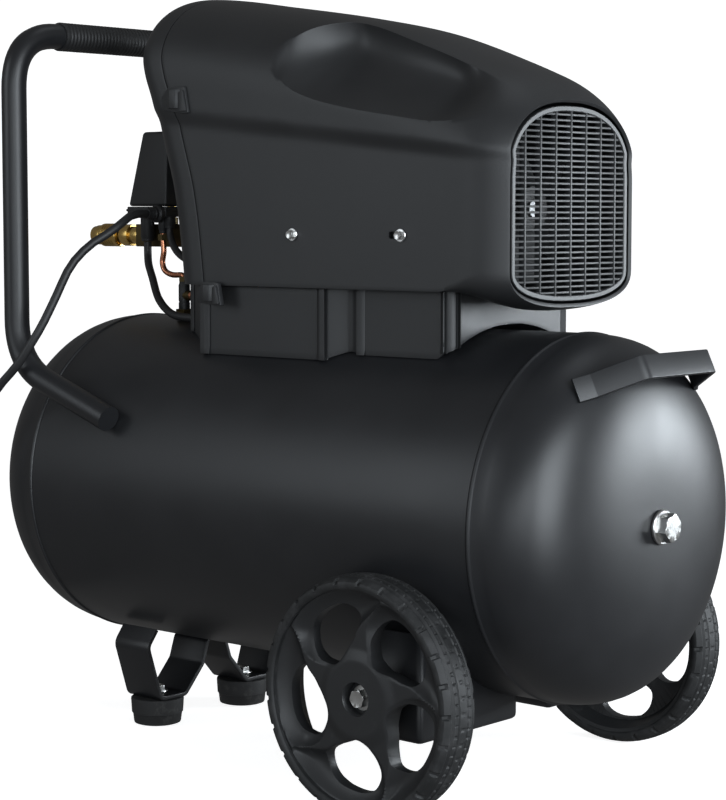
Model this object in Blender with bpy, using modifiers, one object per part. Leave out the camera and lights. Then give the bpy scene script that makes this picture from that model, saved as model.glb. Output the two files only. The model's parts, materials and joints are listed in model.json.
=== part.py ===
"""A wheeled 50 litre air compressor: a horizontal tank carrying a hooded piston pump, metres, +Z up.

X runs along the tank from the push handle to the intake grille, Y across it. The drawing's zero in X is the
tank's seam at the handle end; the last step moves everything so that the world's origin is on the floor under
the middle of the machine.
"""

import math

import bmesh
import bpy
from mathutils import Matrix, Vector

CLEARANCE = 0.0003
FACETS = 32

# Tank
TANK_RADIUS = 0.155
TANK_WALL = 0.0025
TANK_LENGTH = 0.523
TANK_GROUND_GAP = 0.079
TANK_AXIS_Z = TANK_RADIUS + TANK_GROUND_GAP
DECK_Z = TANK_AXIS_Z + TANK_RADIUS
HEAD_DEPTH = 0.0888
HEAD_INSET = 0.0098
HEAD_FULLNESS = 3.32
BEAD_HEIGHT = 0.0012
PLUG_SHANK_RADIUS = 0.010
PLUG_FLANGE_RADIUS = 0.0145
PLUG_FLANGE = 0.0035
PLUG_HEX_RADIUS = 0.0122
PLUG_HEX = 0.009
DRAIN_X = 0.350

# Wheels and their brackets
WHEEL_RADIUS = 0.100
WHEEL_X = TANK_LENGTH - 0.082
WHEEL_WIDTH = 0.040
WHEEL_OUTER_Y = TANK_RADIUS + 0.043
TYRE_THICKNESS = 0.017
SPOKES = 5
HUB_RADIUS = 0.021
BOLT_RADIUS = 0.006
BOLT_HEAD_RADIUS = 0.0110
BOLT_HEAD = 0.007
HUB_RECESS_RADIUS = 0.0135
HUB_RECESS = 0.006
BRACKET_LENGTH = 0.068
BRACKET_FLOOR_Z = 0.060
BRACKET_INNER_Y = 0.022
BRACKET_OUTER_Y = WHEEL_OUTER_Y - 0.046
BRACKET_TOP_Z = TANK_AXIS_Z - 0.084
SHEET = 0.004

# Feet
FOOT_X = 0.0664
FOOT_Y = 0.058
FOOT_HEIGHT = 0.0255
FOOT_TOP_RADIUS = 0.0255
FOOT_BASE_RADIUS = 0.0225
STRIP_WIDTH = 0.046
STRIP = 0.004
FOOT_SCREW_RADIUS = 0.004

# Handles
TUBE_RADIUS = 0.0120
HANDLE_RISE = 0.068
HANDLE_GAP = 0.00043
HANDLE_Y = math.sqrt((TANK_RADIUS + TUBE_RADIUS + HANDLE_GAP) ** 2 - HANDLE_RISE ** 2)
HANDLE_X = -0.021
HANDLE_TOP_Z = DECK_Z + 0.267
HANDLE_END = (0.106, TANK_AXIS_Z + HANDLE_RISE)
HANDLE_BEND_Z = TANK_AXIS_Z + 0.097
HANDLE_BEND = 0.048
GRIP_WALL = 0.0016
GRIP_RADIUS = TUBE_RADIUS + GRIP_WALL
GRIP_HALF = 0.098
LIFT_X = TANK_LENGTH + 0.094
LIFT_Z = TANK_AXIS_Z + 0.1335
LIFT_REACH = 0.006
LIFT_HALF = 0.048
LIFT_FOOT = (TANK_LENGTH + 0.063, 0.071, TANK_AXIS_Z + 0.116)
LIFT_WIDTH = 0.020
LIFT_THICKNESS = 0.004
LIFT_TILT = math.radians(25)

# Hood
HOOD_HALF = 0.0985
HOOD_BULGE = 0.0045
HOOD_WALL = 0.003
HOOD_FRONT_X = 0.512
HOOD_BASE_Z = DECK_Z + 0.035
SEAM_GAP = 0.0012
SHOULDER_HEIGHT = 0.080
REAR_ROUND = 0.046
FRONT_ROUND = 0.071
FRONT_CUT = 0.59
FULLNESS = 2.4
ROOF = [(x, DECK_Z + rise) for x, rise in (
    (0.05, 0.301), (0.12, 0.299), (0.19, 0.289), (0.29, 0.273), (0.37, 0.256), (0.44, 0.232), (0.512, 0.203))]
BACK = [(DECK_Z + rise, x) for rise, x in (
    (0.011, 0.121), (0.041, 0.118), (0.121, 0.106), (0.164, 0.093), (0.204, 0.081), (0.224, 0.073),
    (0.249, 0.067), (0.311, 0.067))]
BELLY_X = 0.446
BELLY_DROP = 0.018
GRILLE_HALF = HOOD_HALF - 0.0145
GRILLE_LOW_Z = DECK_Z + 0.0285
GRILLE_HIGH_Z = DECK_Z + 0.191
GRILLE_THICKNESS = 0.006
GRILLE_SETBACK = 0.0015
GRILLE_INSET = 0.0050
GRILLE_COLUMNS = 8
GRILLE_BORDER = 0.006
CLIP_UPPER = (0.146, DECK_Z + 0.201, 0.034, 0.024)
CLIP_LOWER = (0.188, DECK_Z + 0.0275, 0.030, 0.021)
CLIP_SEAT_Y = HOOD_HALF + HOOD_BULGE + 0.0002
CLIP_RISE = 0.006
HOOD_SCREW_X = (0.285, 0.408)
HOOD_SCREW_Z = DECK_Z + 0.081
HOOD_SCREW_RADIUS = 0.0022
SEAM_OFFSET = 0.056
CREASE_Z = DECK_Z + 0.1879
CREASE_FALL = 0.108
BULGE_RUN = 0.014
BELLY_RUN = 0.050
BELLY_ROUND = 0.034
SIDE_ROWS = 4
TOP_ROWS = 7
BELLY_ROWS = 3
HOOD_SLICES = 9
NOSE_SLICES = 4
COVER_SLICES = 4
SCOOP_DEPTH = 0.013
SCOOP_HIGH = [(x, DECK_Z + rise) for x, rise in (
    (0.262, 0.233), (0.270, 0.248), (0.285, 0.261), (0.300, 0.266), (0.330, 0.261),
    (0.400, 0.239), (0.450, 0.220), (0.489, 0.203), (0.512, 0.191))]
SCOOP_LOW = [(x, DECK_Z + rise) for x, rise in (
    (0.262, 0.233), (0.270, 0.217), (0.285, 0.206), (0.310, 0.197), (0.350, 0.188),
    (0.400, 0.180), (0.450, 0.174), (0.512, 0.179))]

# Base cowl
COWL_BACK_X = 0.120
COWL_HALF = HOOD_HALF - 0.0085
COWL_STEP = 0.0085
COWL_STEP_X = 0.340
COWL_FRONT_X = 0.449
COWL_TOP_Z = DECK_Z + 0.0342
COWL_ARCH = 0.005
PORT_RADIUS = 0.0062

COWL_CHAMFER = 0.032

# Pump and motor
SHAFT_Z = DECK_Z + 0.103
SHAFT_RADIUS = 0.008
MOTOR_X = (0.300, 0.425)
MOTOR_RADIUS = 0.068
ROTOR_RADIUS = 0.040
CRANKCASE_X = (0.200, 0.296)
CRANKCASE_HALF = 0.058
CYLINDER_X = 0.240
CYLINDER_RADIUS = 0.036
BORE_RADIUS = 0.0235
PISTON_RADIUS = 0.0230
CYLINDER_Z = (DECK_Z + 0.164, DECK_Z + 0.223)
HEAD_BLOCK_HALF = 0.042
HEAD_BLOCK = 0.026
CRANK_THROW = 0.018
FAN_X = 0.455
FAN_RADIUS = 0.062
SADDLE_X = (0.185, 0.432)
SADDLE_HALF = 0.066
SADDLE_Z = DECK_Z + 0.0075

# Air fittings at the handle end
VALVE_XY = (0.070, -0.022)
VALVE_TOP_Z = DECK_Z + 0.035
VALVE_RADIUS = 0.0055
VALVE_PORT_Z = DECK_Z + 0.021
DISCHARGE_RADIUS = 0.0045
COPPER_RADIUS = 0.0028
MANIFOLD_Z = DECK_Z + 0.078
MANIFOLD_HALF = 0.011
MANIFOLD_X = (-0.010, 0.099)
RISER_X = 0.088
RISER_RADIUS = 0.0085
COUPLER_TIP_X = -0.0803
SLEEVE_RADIUS = 0.0115
SLEEVE_X = (-0.066, -0.041)
SWITCH_X = (0.000, 0.053)
SWITCH_HALF = 0.030
SWITCH_Z = (DECK_Z + 0.096, DECK_Z + 0.178)
SWITCH_BASE = 0.010
SWITCH_LEAN = 0.018
KNOB_Z = DECK_Z + 0.139
PORT_OFFSET = -0.029
RELIEF_PORT_Z = SWITCH_Z[0] - 0.016
REGULATOR_X = 0.055
REGULATOR_RADIUS = 0.0105
GAUGE_RADIUS = 0.0195
GAUGE_AT = (-0.0145, 0.036, DECK_Z + 0.131)

# Cords
CORD_RADIUS = 0.004
CABLE_RADIUS = 0.0038
GLAND_RADIUS = 0.0085
GLAND_AT = (0.046, DECK_Z + 0.099)
COIL_RADIUS = 0.044
COIL_TUBE = 0.0105
COIL_AT = (-0.155, -0.160)
CORD_ROUTE = (
    (0.0460, -0.0480, 0.4880), (0.0470, -0.0660, 0.4873), (0.0530, -0.0820, 0.4820), (0.0500, -0.0980, 0.4710),
    (0.0410, -0.1170, 0.4580), (0.0340, -0.1340, 0.4390), (0.0300, -0.1480, 0.4120), (0.0250, -0.1600, 0.3870),
    (0.0180, -0.1680, 0.3690), (0.0020, -0.1730, 0.3470), (-0.0200, -0.1770, 0.3260), (-0.0450, -0.1800, 0.2950),
    (-0.0650, -0.1830, 0.2450), (-0.0780, -0.1950, 0.1500), (-0.0870, -0.2060, 0.0800), (-0.0920, -0.2080, 0.0400),
    (-0.0945, -0.2000, 0.0170), (-0.0955, -0.1850, 0.0065), (-0.0960, -0.1650, 0.0045), (-0.0960, -0.1450, 0.0045),
)
MOTOR_CABLE = (
    (0.0150, -0.0180, 0.4610), (0.0153, -0.0182, 0.4490), (0.0215, -0.0230, 0.4390), (0.0350, -0.0310, 0.4270),
    (0.0540, -0.0400, 0.4060), (0.0800, -0.0470, 0.3930), (0.1070, -0.0480, 0.3905), (0.1290, -0.0480, 0.3905),
)
PLUG_RADIUS = 0.0175
PLUG_AT = (-0.2340, -0.1560, 0.0178)
PLUG_TOWARD = (0.0, -1.0, 0.0)


# Materials

def finish(name, colour, roughness, metallic=0.0):
    """A Principled material of one colour."""
    material = bpy.data.materials.new(name)
    material.use_nodes = True
    shader = material.node_tree.nodes["Principled BSDF"]
    shader.inputs["Base Color"].default_value = (*colour, 1.0)
    shader.inputs["Roughness"].default_value = roughness
    shader.inputs["Metallic"].default_value = metallic
    return material


for old in list(bpy.data.objects):
    bpy.data.objects.remove(old)

MACHINE = bpy.data.collections.new("air_compressor")
CUTTERS = bpy.data.collections.new("cutters")
for collection in (MACHINE, CUTTERS):
    bpy.context.scene.collection.children.link(collection)

TANK_PAINT = finish("tank_paint", (0.022, 0.024, 0.027), 0.45)
HOOD_PLASTIC = finish("hood_plastic", (0.045, 0.049, 0.054), 0.5)
BLACK_PLASTIC = finish("black_plastic", (0.025, 0.026, 0.028), 0.5)
RUBBER = finish("rubber", (0.020, 0.021, 0.022), 0.75)
ZINC = finish("zinc", (0.72, 0.73, 0.74), 0.3, 1.0)
BRASS = finish("brass", (0.62, 0.44, 0.16), 0.28, 1.0)
COPPER = finish("copper", (0.70, 0.30, 0.16), 0.3, 1.0)
CAST_ALUMINIUM = finish("cast_aluminium", (0.50, 0.51, 0.52), 0.5, 1.0)
STEEL = finish("steel", (0.45, 0.46, 0.47), 0.35, 1.0)
RED = finish("red_plastic", (0.45, 0.02, 0.015), 0.4)


# Modelling helpers

def place(name, mesh, material, matrix=None):
    """A named object with its mesh and its material in the machine's collection."""
    thing = bpy.data.objects.new(name, mesh)
    if material:
        mesh.materials.clear()
        mesh.materials.append(material)
    if matrix is not None:
        thing.matrix_world = matrix
    MACHINE.objects.link(thing)
    return thing


def as_mesh(name, shape):
    bmesh.ops.recalc_face_normals(shape, faces=shape.faces)
    mesh = bpy.data.meshes.new(name)
    shape.to_mesh(mesh)
    shape.free()
    return mesh


def box(name, low, high, material):
    """An upright block between two corners, its origin in its middle."""
    low, high = Vector(low), Vector(high)
    shape = bmesh.new()
    bmesh.ops.create_cube(shape, size=1.0, matrix=Matrix.Diagonal((*(high - low), 1.0)))
    return place(name, as_mesh(name, shape), material, Matrix.Translation((low + high) / 2))


def aligned(start, end):
    """The matrix that stands +Z along a line, at its start."""
    start, end = Vector(start), Vector(end)
    turn = (end - start).to_track_quat("Z", "Y")
    return Matrix.Translation(start) @ turn.to_matrix().to_4x4()


def rod(name, start, end, radius, material, tip_radius=None, sides=FACETS):
    """A cylinder or cone from start to end; six sides make a hexagon."""
    length = (Vector(end) - Vector(start)).length
    shape = bmesh.new()
    bmesh.ops.create_cone(
        shape, cap_ends=True, segments=sides, radius1=radius,
        radius2=radius if tip_radius is None else tip_radius, depth=length,
        matrix=Matrix.Translation((0, 0, length / 2)),
    )
    thing = place(name, as_mesh(name, shape), material, aligned(start, end))
    if sides > 6:
        thing.data.shade_smooth()
        thing.data.set_sharp_from_angle(angle=math.radians(35))
    return thing


def turned(name, profile, start, toward, material, steps=FACETS, ring=False):
    """A profile of (radius, height) pairs, outer side from top to bottom, turned about the line from start."""
    shape = bmesh.new()
    points = [shape.verts.new((radius, 0, height)) for radius, height in profile]
    pairs = list(zip(points, points[1:])) + ([(points[-1], points[0])] if ring else [])
    for pair in pairs:
        shape.edges.new(pair)
    mesh = bpy.data.meshes.new(name)
    shape.to_mesh(mesh)
    shape.free()
    thing = place(name, mesh, material, aligned(start, toward))
    screw = thing.modifiers.new("turn", "SCREW")
    screw.axis = "Z"
    screw.steps = screw.render_steps = steps
    screw.use_merge_vertices = True
    screw.merge_threshold = 0.00001
    screw.use_smooth_shade = True
    return thing


def curve_object(name, splines, material):
    curve = bpy.data.curves.new(name, "CURVE")
    curve.dimensions = "3D"
    for points in splines:
        spline = curve.splines.new("POLY")
        spline.points.add(len(points) - 1)
        for point, place_ in zip(spline.points, points):
            point.co = (*place_, 1.0)
    thing = bpy.data.objects.new(name, curve)
    curve.materials.append(material)
    MACHINE.objects.link(thing)
    return thing


def pipe(name, points, radius, material, roundness=2):
    """A round bar or tube along a line of points, closed at both ends."""
    thing = curve_object(name, [points], material)
    thing.data.bevel_depth = radius
    thing.data.bevel_resolution = roundness
    thing.data.use_fill_caps = True
    return thing


def strip(name, outline, width, thickness, material, matrix):
    """A bent flat bar: a line of (u, v) points thickened, then widened along the matrix's Z."""
    shape = bmesh.new()
    rows = []
    points = [Vector(point) for point in outline]
    for index, point in enumerate(points):
        before = (point - points[index - 1]).normalized() if index else None
        after = (points[index + 1] - point).normalized() if index + 1 < len(points) else None
        along = ((before or after) + (after or before)).normalized()
        normal = Vector((-along.y, along.x))
        stretch = 1 / max(0.5, along.dot(after or before))
        rows.append([
            [shape.verts.new((*(point + normal * side * thickness / 2 * stretch), end * width / 2))
             for side in (-1, 1)]
            for end in (-1, 1)
        ])
    for (low, high), (next_low, next_high) in zip(rows, rows[1:]):
        shape.faces.new((low[0], low[1], next_low[1], next_low[0]))
        shape.faces.new((high[0], next_high[0], next_high[1], high[1]))
        shape.faces.new((low[0], next_low[0], next_high[0], high[0]))
        shape.faces.new((low[1], high[1], next_high[1], next_low[1]))
    for low, high in (rows[0], rows[-1]):
        shape.faces.new((low[0], high[0], high[1], low[1]))
    return place(name, as_mesh(name, shape), material, matrix)


def real_mesh(thing):
    """The object with its modifiers or its curve made into a plain closed mesh."""
    graph = bpy.context.evaluated_depsgraph_get()
    bpy.context.view_layer.update()
    mesh = bpy.data.meshes.new_from_object(thing.evaluated_get(graph))
    shape = bmesh.new()
    shape.from_mesh(mesh)
    bmesh.ops.remove_doubles(shape, verts=shape.verts, dist=0.00001)
    shape.to_mesh(mesh)
    shape.free()
    name, matrix, material = thing.name, thing.matrix_world.copy(), thing.data.materials[0]
    bpy.data.objects.remove(thing)
    return place(name, mesh, material, matrix)


def hide(cutter):
    cutter.hide_render = True
    cutter.display_type = "WIRE"
    MACHINE.objects.unlink(cutter)
    CUTTERS.objects.link(cutter)
    return cutter


def combine(thing, other, operation):
    modifier = thing.modifiers.new(operation.lower(), "BOOLEAN")
    modifier.operation = operation
    modifier.object = hide(other)
    return thing


def cut(thing, *cutters):
    for cutter in cutters:
        combine(thing, cutter, "DIFFERENCE")
    return thing


def join(thing, *others):
    for other in others:
        combine(thing, other, "UNION")
    return thing


def between(value, table):
    """Where a value falls on a table of pairs, with straight stretches between them."""
    for (start, first), (end, second) in zip(table, table[1:]):
        if value <= end:
            share = max(0.0, (value - start) / (end - start))
            return first + (second - first) * share
    return table[-1][1]


def eased(share):
    share = min(1.0, max(0.0, share))
    return share * share * (3 - 2 * share)


def smooth_route(route, spacing):
    """Evenly spaced points on a curve that passes through every point of a route."""
    points = [Vector(point) for point in route]
    ends = [2 * points[0] - points[1]] + points + [2 * points[-1] - points[-2]]
    fine = []
    for a, b, c, d in zip(ends, ends[1:], ends[2:], ends[3:]):
        for step in range(12):
            t = step / 12
            fine.append(0.5 * (2 * b + (c - a) * t + (2 * a - 5 * b + 4 * c - d) * t ** 2
                               + (3 * b - a - 3 * c + d) * t ** 3))
    fine.append(points[-1])
    lengths = [0.0]
    for first, second in zip(fine, fine[1:]):
        lengths.append(lengths[-1] + (second - first).length)
    count = max(2, round(lengths[-1] / spacing))
    result, index = [], 0
    for step in range(count + 1):
        wanted = lengths[-1] * step / count
        while index < len(fine) - 2 and lengths[index + 1] < wanted:
            index += 1
        share = (wanted - lengths[index]) / (lengths[index + 1] - lengths[index])
        result.append(fine[index].lerp(fine[index + 1], share))
    return result


def arc(centre, radius, start, end, count):
    """Points on a circle in a plane, as pairs, between two angles in degrees."""
    return [
        (centre[0] + radius * math.cos(math.radians(start + (end - start) * step / count)),
         centre[1] + radius * math.sin(math.radians(start + (end - start) * step / count)))
        for step in range(count + 1)
    ]


def tank_top(y, radius=TANK_RADIUS):
    return TANK_AXIS_Z + math.sqrt(radius ** 2 - y ** 2)


def tank_cutter(name, gap=CLEARANCE):
    return rod(name, (-0.1, 0, TANK_AXIS_Z), (TANK_LENGTH + 0.1, 0, TANK_AXIS_Z), TANK_RADIUS + gap, None)


# Tank

def head_profile(radius):
    """How far the head's outer skin stands beyond its seam at a radius."""
    share = 1 - (radius / TANK_RADIUS) ** HEAD_FULLNESS
    return HEAD_DEPTH * max(0.0, share) ** (1 / HEAD_FULLNESS) - HEAD_INSET


def tank_shell():
    outer, inner = TANK_RADIUS, TANK_RADIUS - TANK_WALL
    low, high = CLEARANCE, TANK_LENGTH - CLEARANCE
    profile = [(outer, high), (outer, low), (inner, low), (inner, high)]
    turned("tank_shell", profile, (0, 0, TANK_AXIS_Z), (1, 0, TANK_AXIS_Z), TANK_PAINT, ring=True)


def tank_head(name, seam_x, side, mouth_radius):
    """A pressed head with its weld bead as a raised rim, and a hole on its axis where it has a mouth."""
    radii = [mouth_radius, 0.07, 0.105, 0.128, 0.142, 0.151]
    outer = [(radius, head_profile(radius)) for radius in radii]
    rim = TANK_RADIUS + BEAD_HEIGHT
    bead = [(TANK_RADIUS, 0.004), (rim, 0.003), (rim, 0.0)]
    inner = [(max(mouth_radius, radius - TANK_WALL * 0.9), height - TANK_WALL) for radius, height in outer[::-2]]
    profile = outer + bead + [(TANK_RADIUS - TANK_WALL, 0.0)] + inner
    if not mouth_radius:
        profile.append((0.0, outer[0][1] - TANK_WALL))
    start = (seam_x, 0, TANK_AXIS_Z)
    turned(name, profile, start, (seam_x + side, 0, TANK_AXIS_Z), TANK_PAINT, ring=bool(mouth_radius))


def inspection_plug():
    face_x = TANK_LENGTH + head_profile(0) + CLEARANCE
    axis = (TANK_AXIS_Z,)
    flange = rod("inspection_plug", (face_x, 0, *axis), (face_x + PLUG_FLANGE, 0, *axis), PLUG_FLANGE_RADIUS, ZINC)
    hexagon = rod("plug_hex", (face_x + PLUG_FLANGE / 2, 0, *axis), (face_x + PLUG_FLANGE + PLUG_HEX, 0, *axis),
                  PLUG_HEX_RADIUS, ZINC, sides=6)
    shank = rod("plug_shank", (face_x - 0.012, 0, *axis), (face_x + PLUG_FLANGE / 2, 0, *axis), PLUG_SHANK_RADIUS, ZINC)
    join(flange, hexagon, shank)


def drain_valve():
    """A brass drain cock screwed up into the tank's lowest line, with a turning knob under it."""
    top = TANK_AXIS_Z - TANK_RADIUS - CLEARANCE
    body = rod("drain_valve", (DRAIN_X, 0, top), (DRAIN_X, 0, top - 0.014), 0.0085, BRASS, sides=6)
    neck = rod("drain_neck", (DRAIN_X, 0, top - 0.010), (DRAIN_X, 0, top - 0.020), 0.006, BRASS, sides=24)
    spout = rod("drain_spout", (DRAIN_X, 0, top - 0.008), (DRAIN_X - 0.018, 0, top - 0.008), 0.0035, BRASS, sides=20)
    join(body, neck, spout)
    knob_top = top - 0.020 - CLEARANCE
    knob = rod("drain_knob", (DRAIN_X, 0, knob_top), (DRAIN_X, 0, knob_top - 0.008), 0.009, BRASS, sides=24)
    wing = box("drain_wing", (DRAIN_X - 0.013, -0.002, knob_top - 0.014), (DRAIN_X + 0.013, 0.002, knob_top - 0.004),
               BRASS)
    join(knob, wing)


# Undercarriage

def foot_strip():
    """One flat bar bent like a W: up to the tank between and beyond the two feet."""
    floor = FOOT_HEIGHT + CLEARANCE + STRIP / 2
    top = TANK_AXIS_Z - TANK_RADIUS - CLEARANCE - STRIP / 2
    outer_y = 0.079
    outer_z = TANK_AXIS_Z - math.sqrt((TANK_RADIUS + STRIP) ** 2 - outer_y ** 2)
    half = [(0.0, top), (0.012, top), (0.0185, 0.054), (FOOT_Y - 0.016, floor), (FOOT_Y + 0.017, floor),
            (0.0905, 0.080), (outer_y, outer_z - 0.001)]
    outline = [(-y, z) for y, z in reversed(half[1:])] + half
    across = Matrix(((0, 0, 1, FOOT_X), (1, 0, 0, 0), (0, 1, 0, 0), (0, 0, 0, 1)))
    bar = strip("foot_bracket", outline, STRIP_WIDTH, STRIP, TANK_PAINT, across)
    for side in (-1, 1):
        hole = rod("foot_hole", (FOOT_X, side * FOOT_Y, FOOT_HEIGHT - 0.01), (FOOT_X, side * FOOT_Y, floor + 0.01),
                   FOOT_SCREW_RADIUS + CLEARANCE, None, sides=16)
        cut(bar, hole)
    cut(bar, tank_cutter("foot_tank"))


def rubber_feet():
    screw_top = FOOT_HEIGHT + CLEARANCE + STRIP + CLEARANCE
    for name, side in (("near", -1), ("far", 1)):
        y = side * FOOT_Y
        foot = rod(f"rubber_foot_{name}", (FOOT_X, y, 0), (FOOT_X, y, FOOT_HEIGHT), FOOT_BASE_RADIUS, RUBBER,
                   tip_radius=FOOT_TOP_RADIUS, sides=32)
        well = rod("foot_well", (FOOT_X, y, FOOT_HEIGHT - 0.014), (FOOT_X, y, FOOT_HEIGHT + 0.01),
                   FOOT_SCREW_RADIUS + CLEARANCE, None, sides=16)
        cut(foot, well)
        screw = rod(f"foot_screw_{name}", (FOOT_X, y, screw_top), (FOOT_X, y, screw_top + 0.006), 0.0075, ZINC, sides=6)
        shank = rod("foot_shank", (FOOT_X, y, FOOT_HEIGHT - 0.012), (FOOT_X, y, screw_top + 0.003), FOOT_SCREW_RADIUS,
                    ZINC, sides=16)
        join(screw, shank)


def wheel_bracket(name, side):
    """A folded sheet box under the tank, open at the top, whose outer wall holds the wheel bolt."""
    half = BRACKET_LENGTH / 2
    near, far = sorted((side * BRACKET_INNER_Y, side * BRACKET_OUTER_Y))
    bracket = box(name, (WHEEL_X - half, near, BRACKET_FLOOR_Z), (WHEEL_X + half, far, BRACKET_TOP_Z), TANK_PAINT)
    hollow = box("bracket_hollow", (WHEEL_X - half + SHEET, near + SHEET, BRACKET_FLOOR_Z + SHEET),
                 (WHEEL_X + half - SHEET, far - SHEET, BRACKET_TOP_Z + 0.05), None)
    hole = rod("bracket_hole", (WHEEL_X, side * 0.1, WHEEL_RADIUS), (WHEEL_X, side * 0.2, WHEEL_RADIUS),
               BOLT_RADIUS + CLEARANCE, None, sides=24)
    cut(bracket, hollow, tank_cutter("bracket_tank"), hole)


def wheel_disc(name, side):
    """A moulded wheel: rim, five curved spokes between teardrop windows, and a hub with a sunk bolt head."""
    inner_y = side * (WHEEL_OUTER_Y - WHEEL_WIDTH)
    rim = WHEEL_RADIUS - TYRE_THICKNESS - CLEARANCE
    face = WHEEL_WIDTH - 0.003
    profile = [(HUB_RECESS_RADIUS, face - 0.002), (0.030, face - 0.002), (0.040, face - 0.007),
               (rim - 0.0167, face - 0.007),
               (rim - 0.007, face), (rim, face), (rim, 0.003), (rim - 0.0227, 0.008), (0.036, 0.008),
               (HUB_RADIUS, 0.0), (BOLT_RADIUS + CLEARANCE, 0.0),
               (BOLT_RADIUS + CLEARANCE, face - 0.002 - HUB_RECESS), (HUB_RECESS_RADIUS, face - 0.002 - HUB_RECESS)]
    axle = (WHEEL_X, inner_y, WHEEL_RADIUS)
    disc = real_mesh(turned(name, profile, axle, (WHEEL_X, inner_y + side, WHEEL_RADIUS), BLACK_PLASTIC,
                            steps=36, ring=True))
    for spoke in range(SPOKES):
        outline = bpy.data.meshes.new("window")
        shape = bmesh.new()
        wide, narrow = (rim - HUB_RADIUS) / 2 - 0.01435, 0.0065
        out, near = rim - 0.0307, HUB_RADIUS + 0.013
        loop = arc((out, 0.0), wide, -80, 92, 6) + arc((near, 0.010), narrow, 130, 240, 2)
        turn = Matrix.Rotation(math.tau * spoke / SPOKES + 0.35, 3, "Z")
        corners = [shape.verts.new(turn @ Vector((x, y, -0.01))) for x, y in loop]
        bottom = shape.faces.new(corners)
        raised = bmesh.ops.extrude_face_region(shape, geom=[bottom])["geom"]
        bmesh.ops.translate(shape, vec=(0, 0, WHEEL_WIDTH + 0.02),
                            verts=[part for part in raised if isinstance(part, bmesh.types.BMVert)])
        bmesh.ops.recalc_face_normals(shape, faces=shape.faces)
        shape.to_mesh(outline)
        shape.free()
        window = place("window", outline, BLACK_PLASTIC, aligned(axle, (WHEEL_X, inner_y + side, WHEEL_RADIUS)))
        cut(disc, window)


def tyre(name, side):
    bed = WHEEL_RADIUS - TYRE_THICKNESS
    inner_y = side * (WHEEL_OUTER_Y - WHEEL_WIDTH)
    width = WHEEL_WIDTH
    profile = [(bed, width), (WHEEL_RADIUS - 0.006, width), (WHEEL_RADIUS, width - 0.008), (WHEEL_RADIUS, 0.008),
               (WHEEL_RADIUS - 0.006, 0.0), (bed, 0.0)]
    axle = (WHEEL_X, inner_y, WHEEL_RADIUS)
    turned(name, profile, axle, (WHEEL_X, inner_y + side, WHEEL_RADIUS), RUBBER, steps=36, ring=True)


def wheel_bolt(name, side):
    seat = side * (WHEEL_OUTER_Y - 0.005 - HUB_RECESS + CLEARANCE)
    level = (WHEEL_X, WHEEL_RADIUS)

    def at(y):
        return (level[0], y, level[1])

    head = rod(name, at(seat), at(seat + side * BOLT_HEAD), BOLT_HEAD_RADIUS, ZINC, sides=6)
    shank = rod("bolt_shank", at(side * (BRACKET_OUTER_Y - 0.020)), at(seat + side * BOLT_HEAD / 2),
                BOLT_RADIUS - 0.0001,
                ZINC, sides=24)
    nut = rod("bolt_nut", at(side * (BRACKET_OUTER_Y - SHEET - CLEARANCE)),
              at(side * (BRACKET_OUTER_Y - SHEET - 0.009)),
              0.0105, ZINC, sides=6)
    join(head, shank, nut)


# Handles

def push_handle():
    """A bent tube: welded along each side of the tank, up behind it, and across under the grip."""
    end_x, end_z = HANDLE_END
    side = [(end_x, end_z), (0.042, TANK_AXIS_Z + 0.090)]
    side += arc((0.033, HANDLE_BEND_Z + 0.048), 0.054, 250, 180, 7)
    upright = [(x, -HANDLE_Y, z) for x, z in side]
    top = HANDLE_TOP_Z - HANDLE_BEND
    corner = arc((-HANDLE_Y + HANDLE_BEND, top), HANDLE_BEND, 180, 90, 8)
    upright += [(HANDLE_X, y, z) for y, z in corner]
    points = upright + [(x, -y, z) for x, y, z in reversed(upright)]
    pipe("push_handle", points, TUBE_RADIUS, TANK_PAINT, roundness=3)
    ring = [(TUBE_RADIUS + CLEARANCE, GRIP_HALF), (GRIP_RADIUS, GRIP_HALF), (GRIP_RADIUS, -GRIP_HALF),
            (TUBE_RADIUS + CLEARANCE, -GRIP_HALF)]
    centre = (HANDLE_X, 0, HANDLE_TOP_Z)
    turned("handle_grip", ring, centre, (HANDLE_X, 1, HANDLE_TOP_Z), RUBBER, steps=32, ring=True)


def lift_handle():
    """A flat bar bent into a low bow, its two feet welded on the grille-end head."""
    foot_x, foot_y, foot_z = LIFT_FOOT
    lean = Vector((math.sin(LIFT_TILT), 0, -math.cos(LIFT_TILT)))
    out = Vector((math.cos(LIFT_TILT), 0, math.sin(LIFT_TILT)))
    grip = Vector((LIFT_X, 0, LIFT_Z))
    depth = (grip - Vector((foot_x, 0, foot_z))).dot(out)
    half = [(0.0, 0.0), (LIFT_HALF, 0.0), (foot_y, -depth), (foot_y + 0.012, -depth - 0.009)]
    outline = [(-y, rise) for y, rise in reversed(half[1:])] + half
    frame = Matrix((
        (0, out.x, lean.x, grip.x), (1, out.y, lean.y, grip.y), (0, out.z, lean.z, grip.z), (0, 0, 0, 1),
    ))
    bar = strip("lift_handle", outline, LIFT_WIDTH, LIFT_THICKNESS, TANK_PAINT, frame)
    radii = [0.0, 0.04, 0.07, 0.095, 0.115, 0.130, 0.141, 0.149, 0.1535, TANK_RADIUS]
    profile = [(radius, head_profile(radius) + 0.0006) for radius in radii]
    profile += [(TANK_RADIUS + 0.0006, -0.05), (0.0, -0.05)]
    dome = turned("lift_dome", profile, (TANK_LENGTH, 0, TANK_AXIS_Z), (TANK_LENGTH + 1, 0, TANK_AXIS_Z), None)
    cut(bar, dome)


# Hood, rear cover, grille and base cowl

def back_line(z):
    return between(z, BACK)


def crease_height(x):
    """The line along the hood's side where its fuller upper part begins."""
    return CREASE_Z - CREASE_FALL * (x - SEAM_OFFSET)


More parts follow.
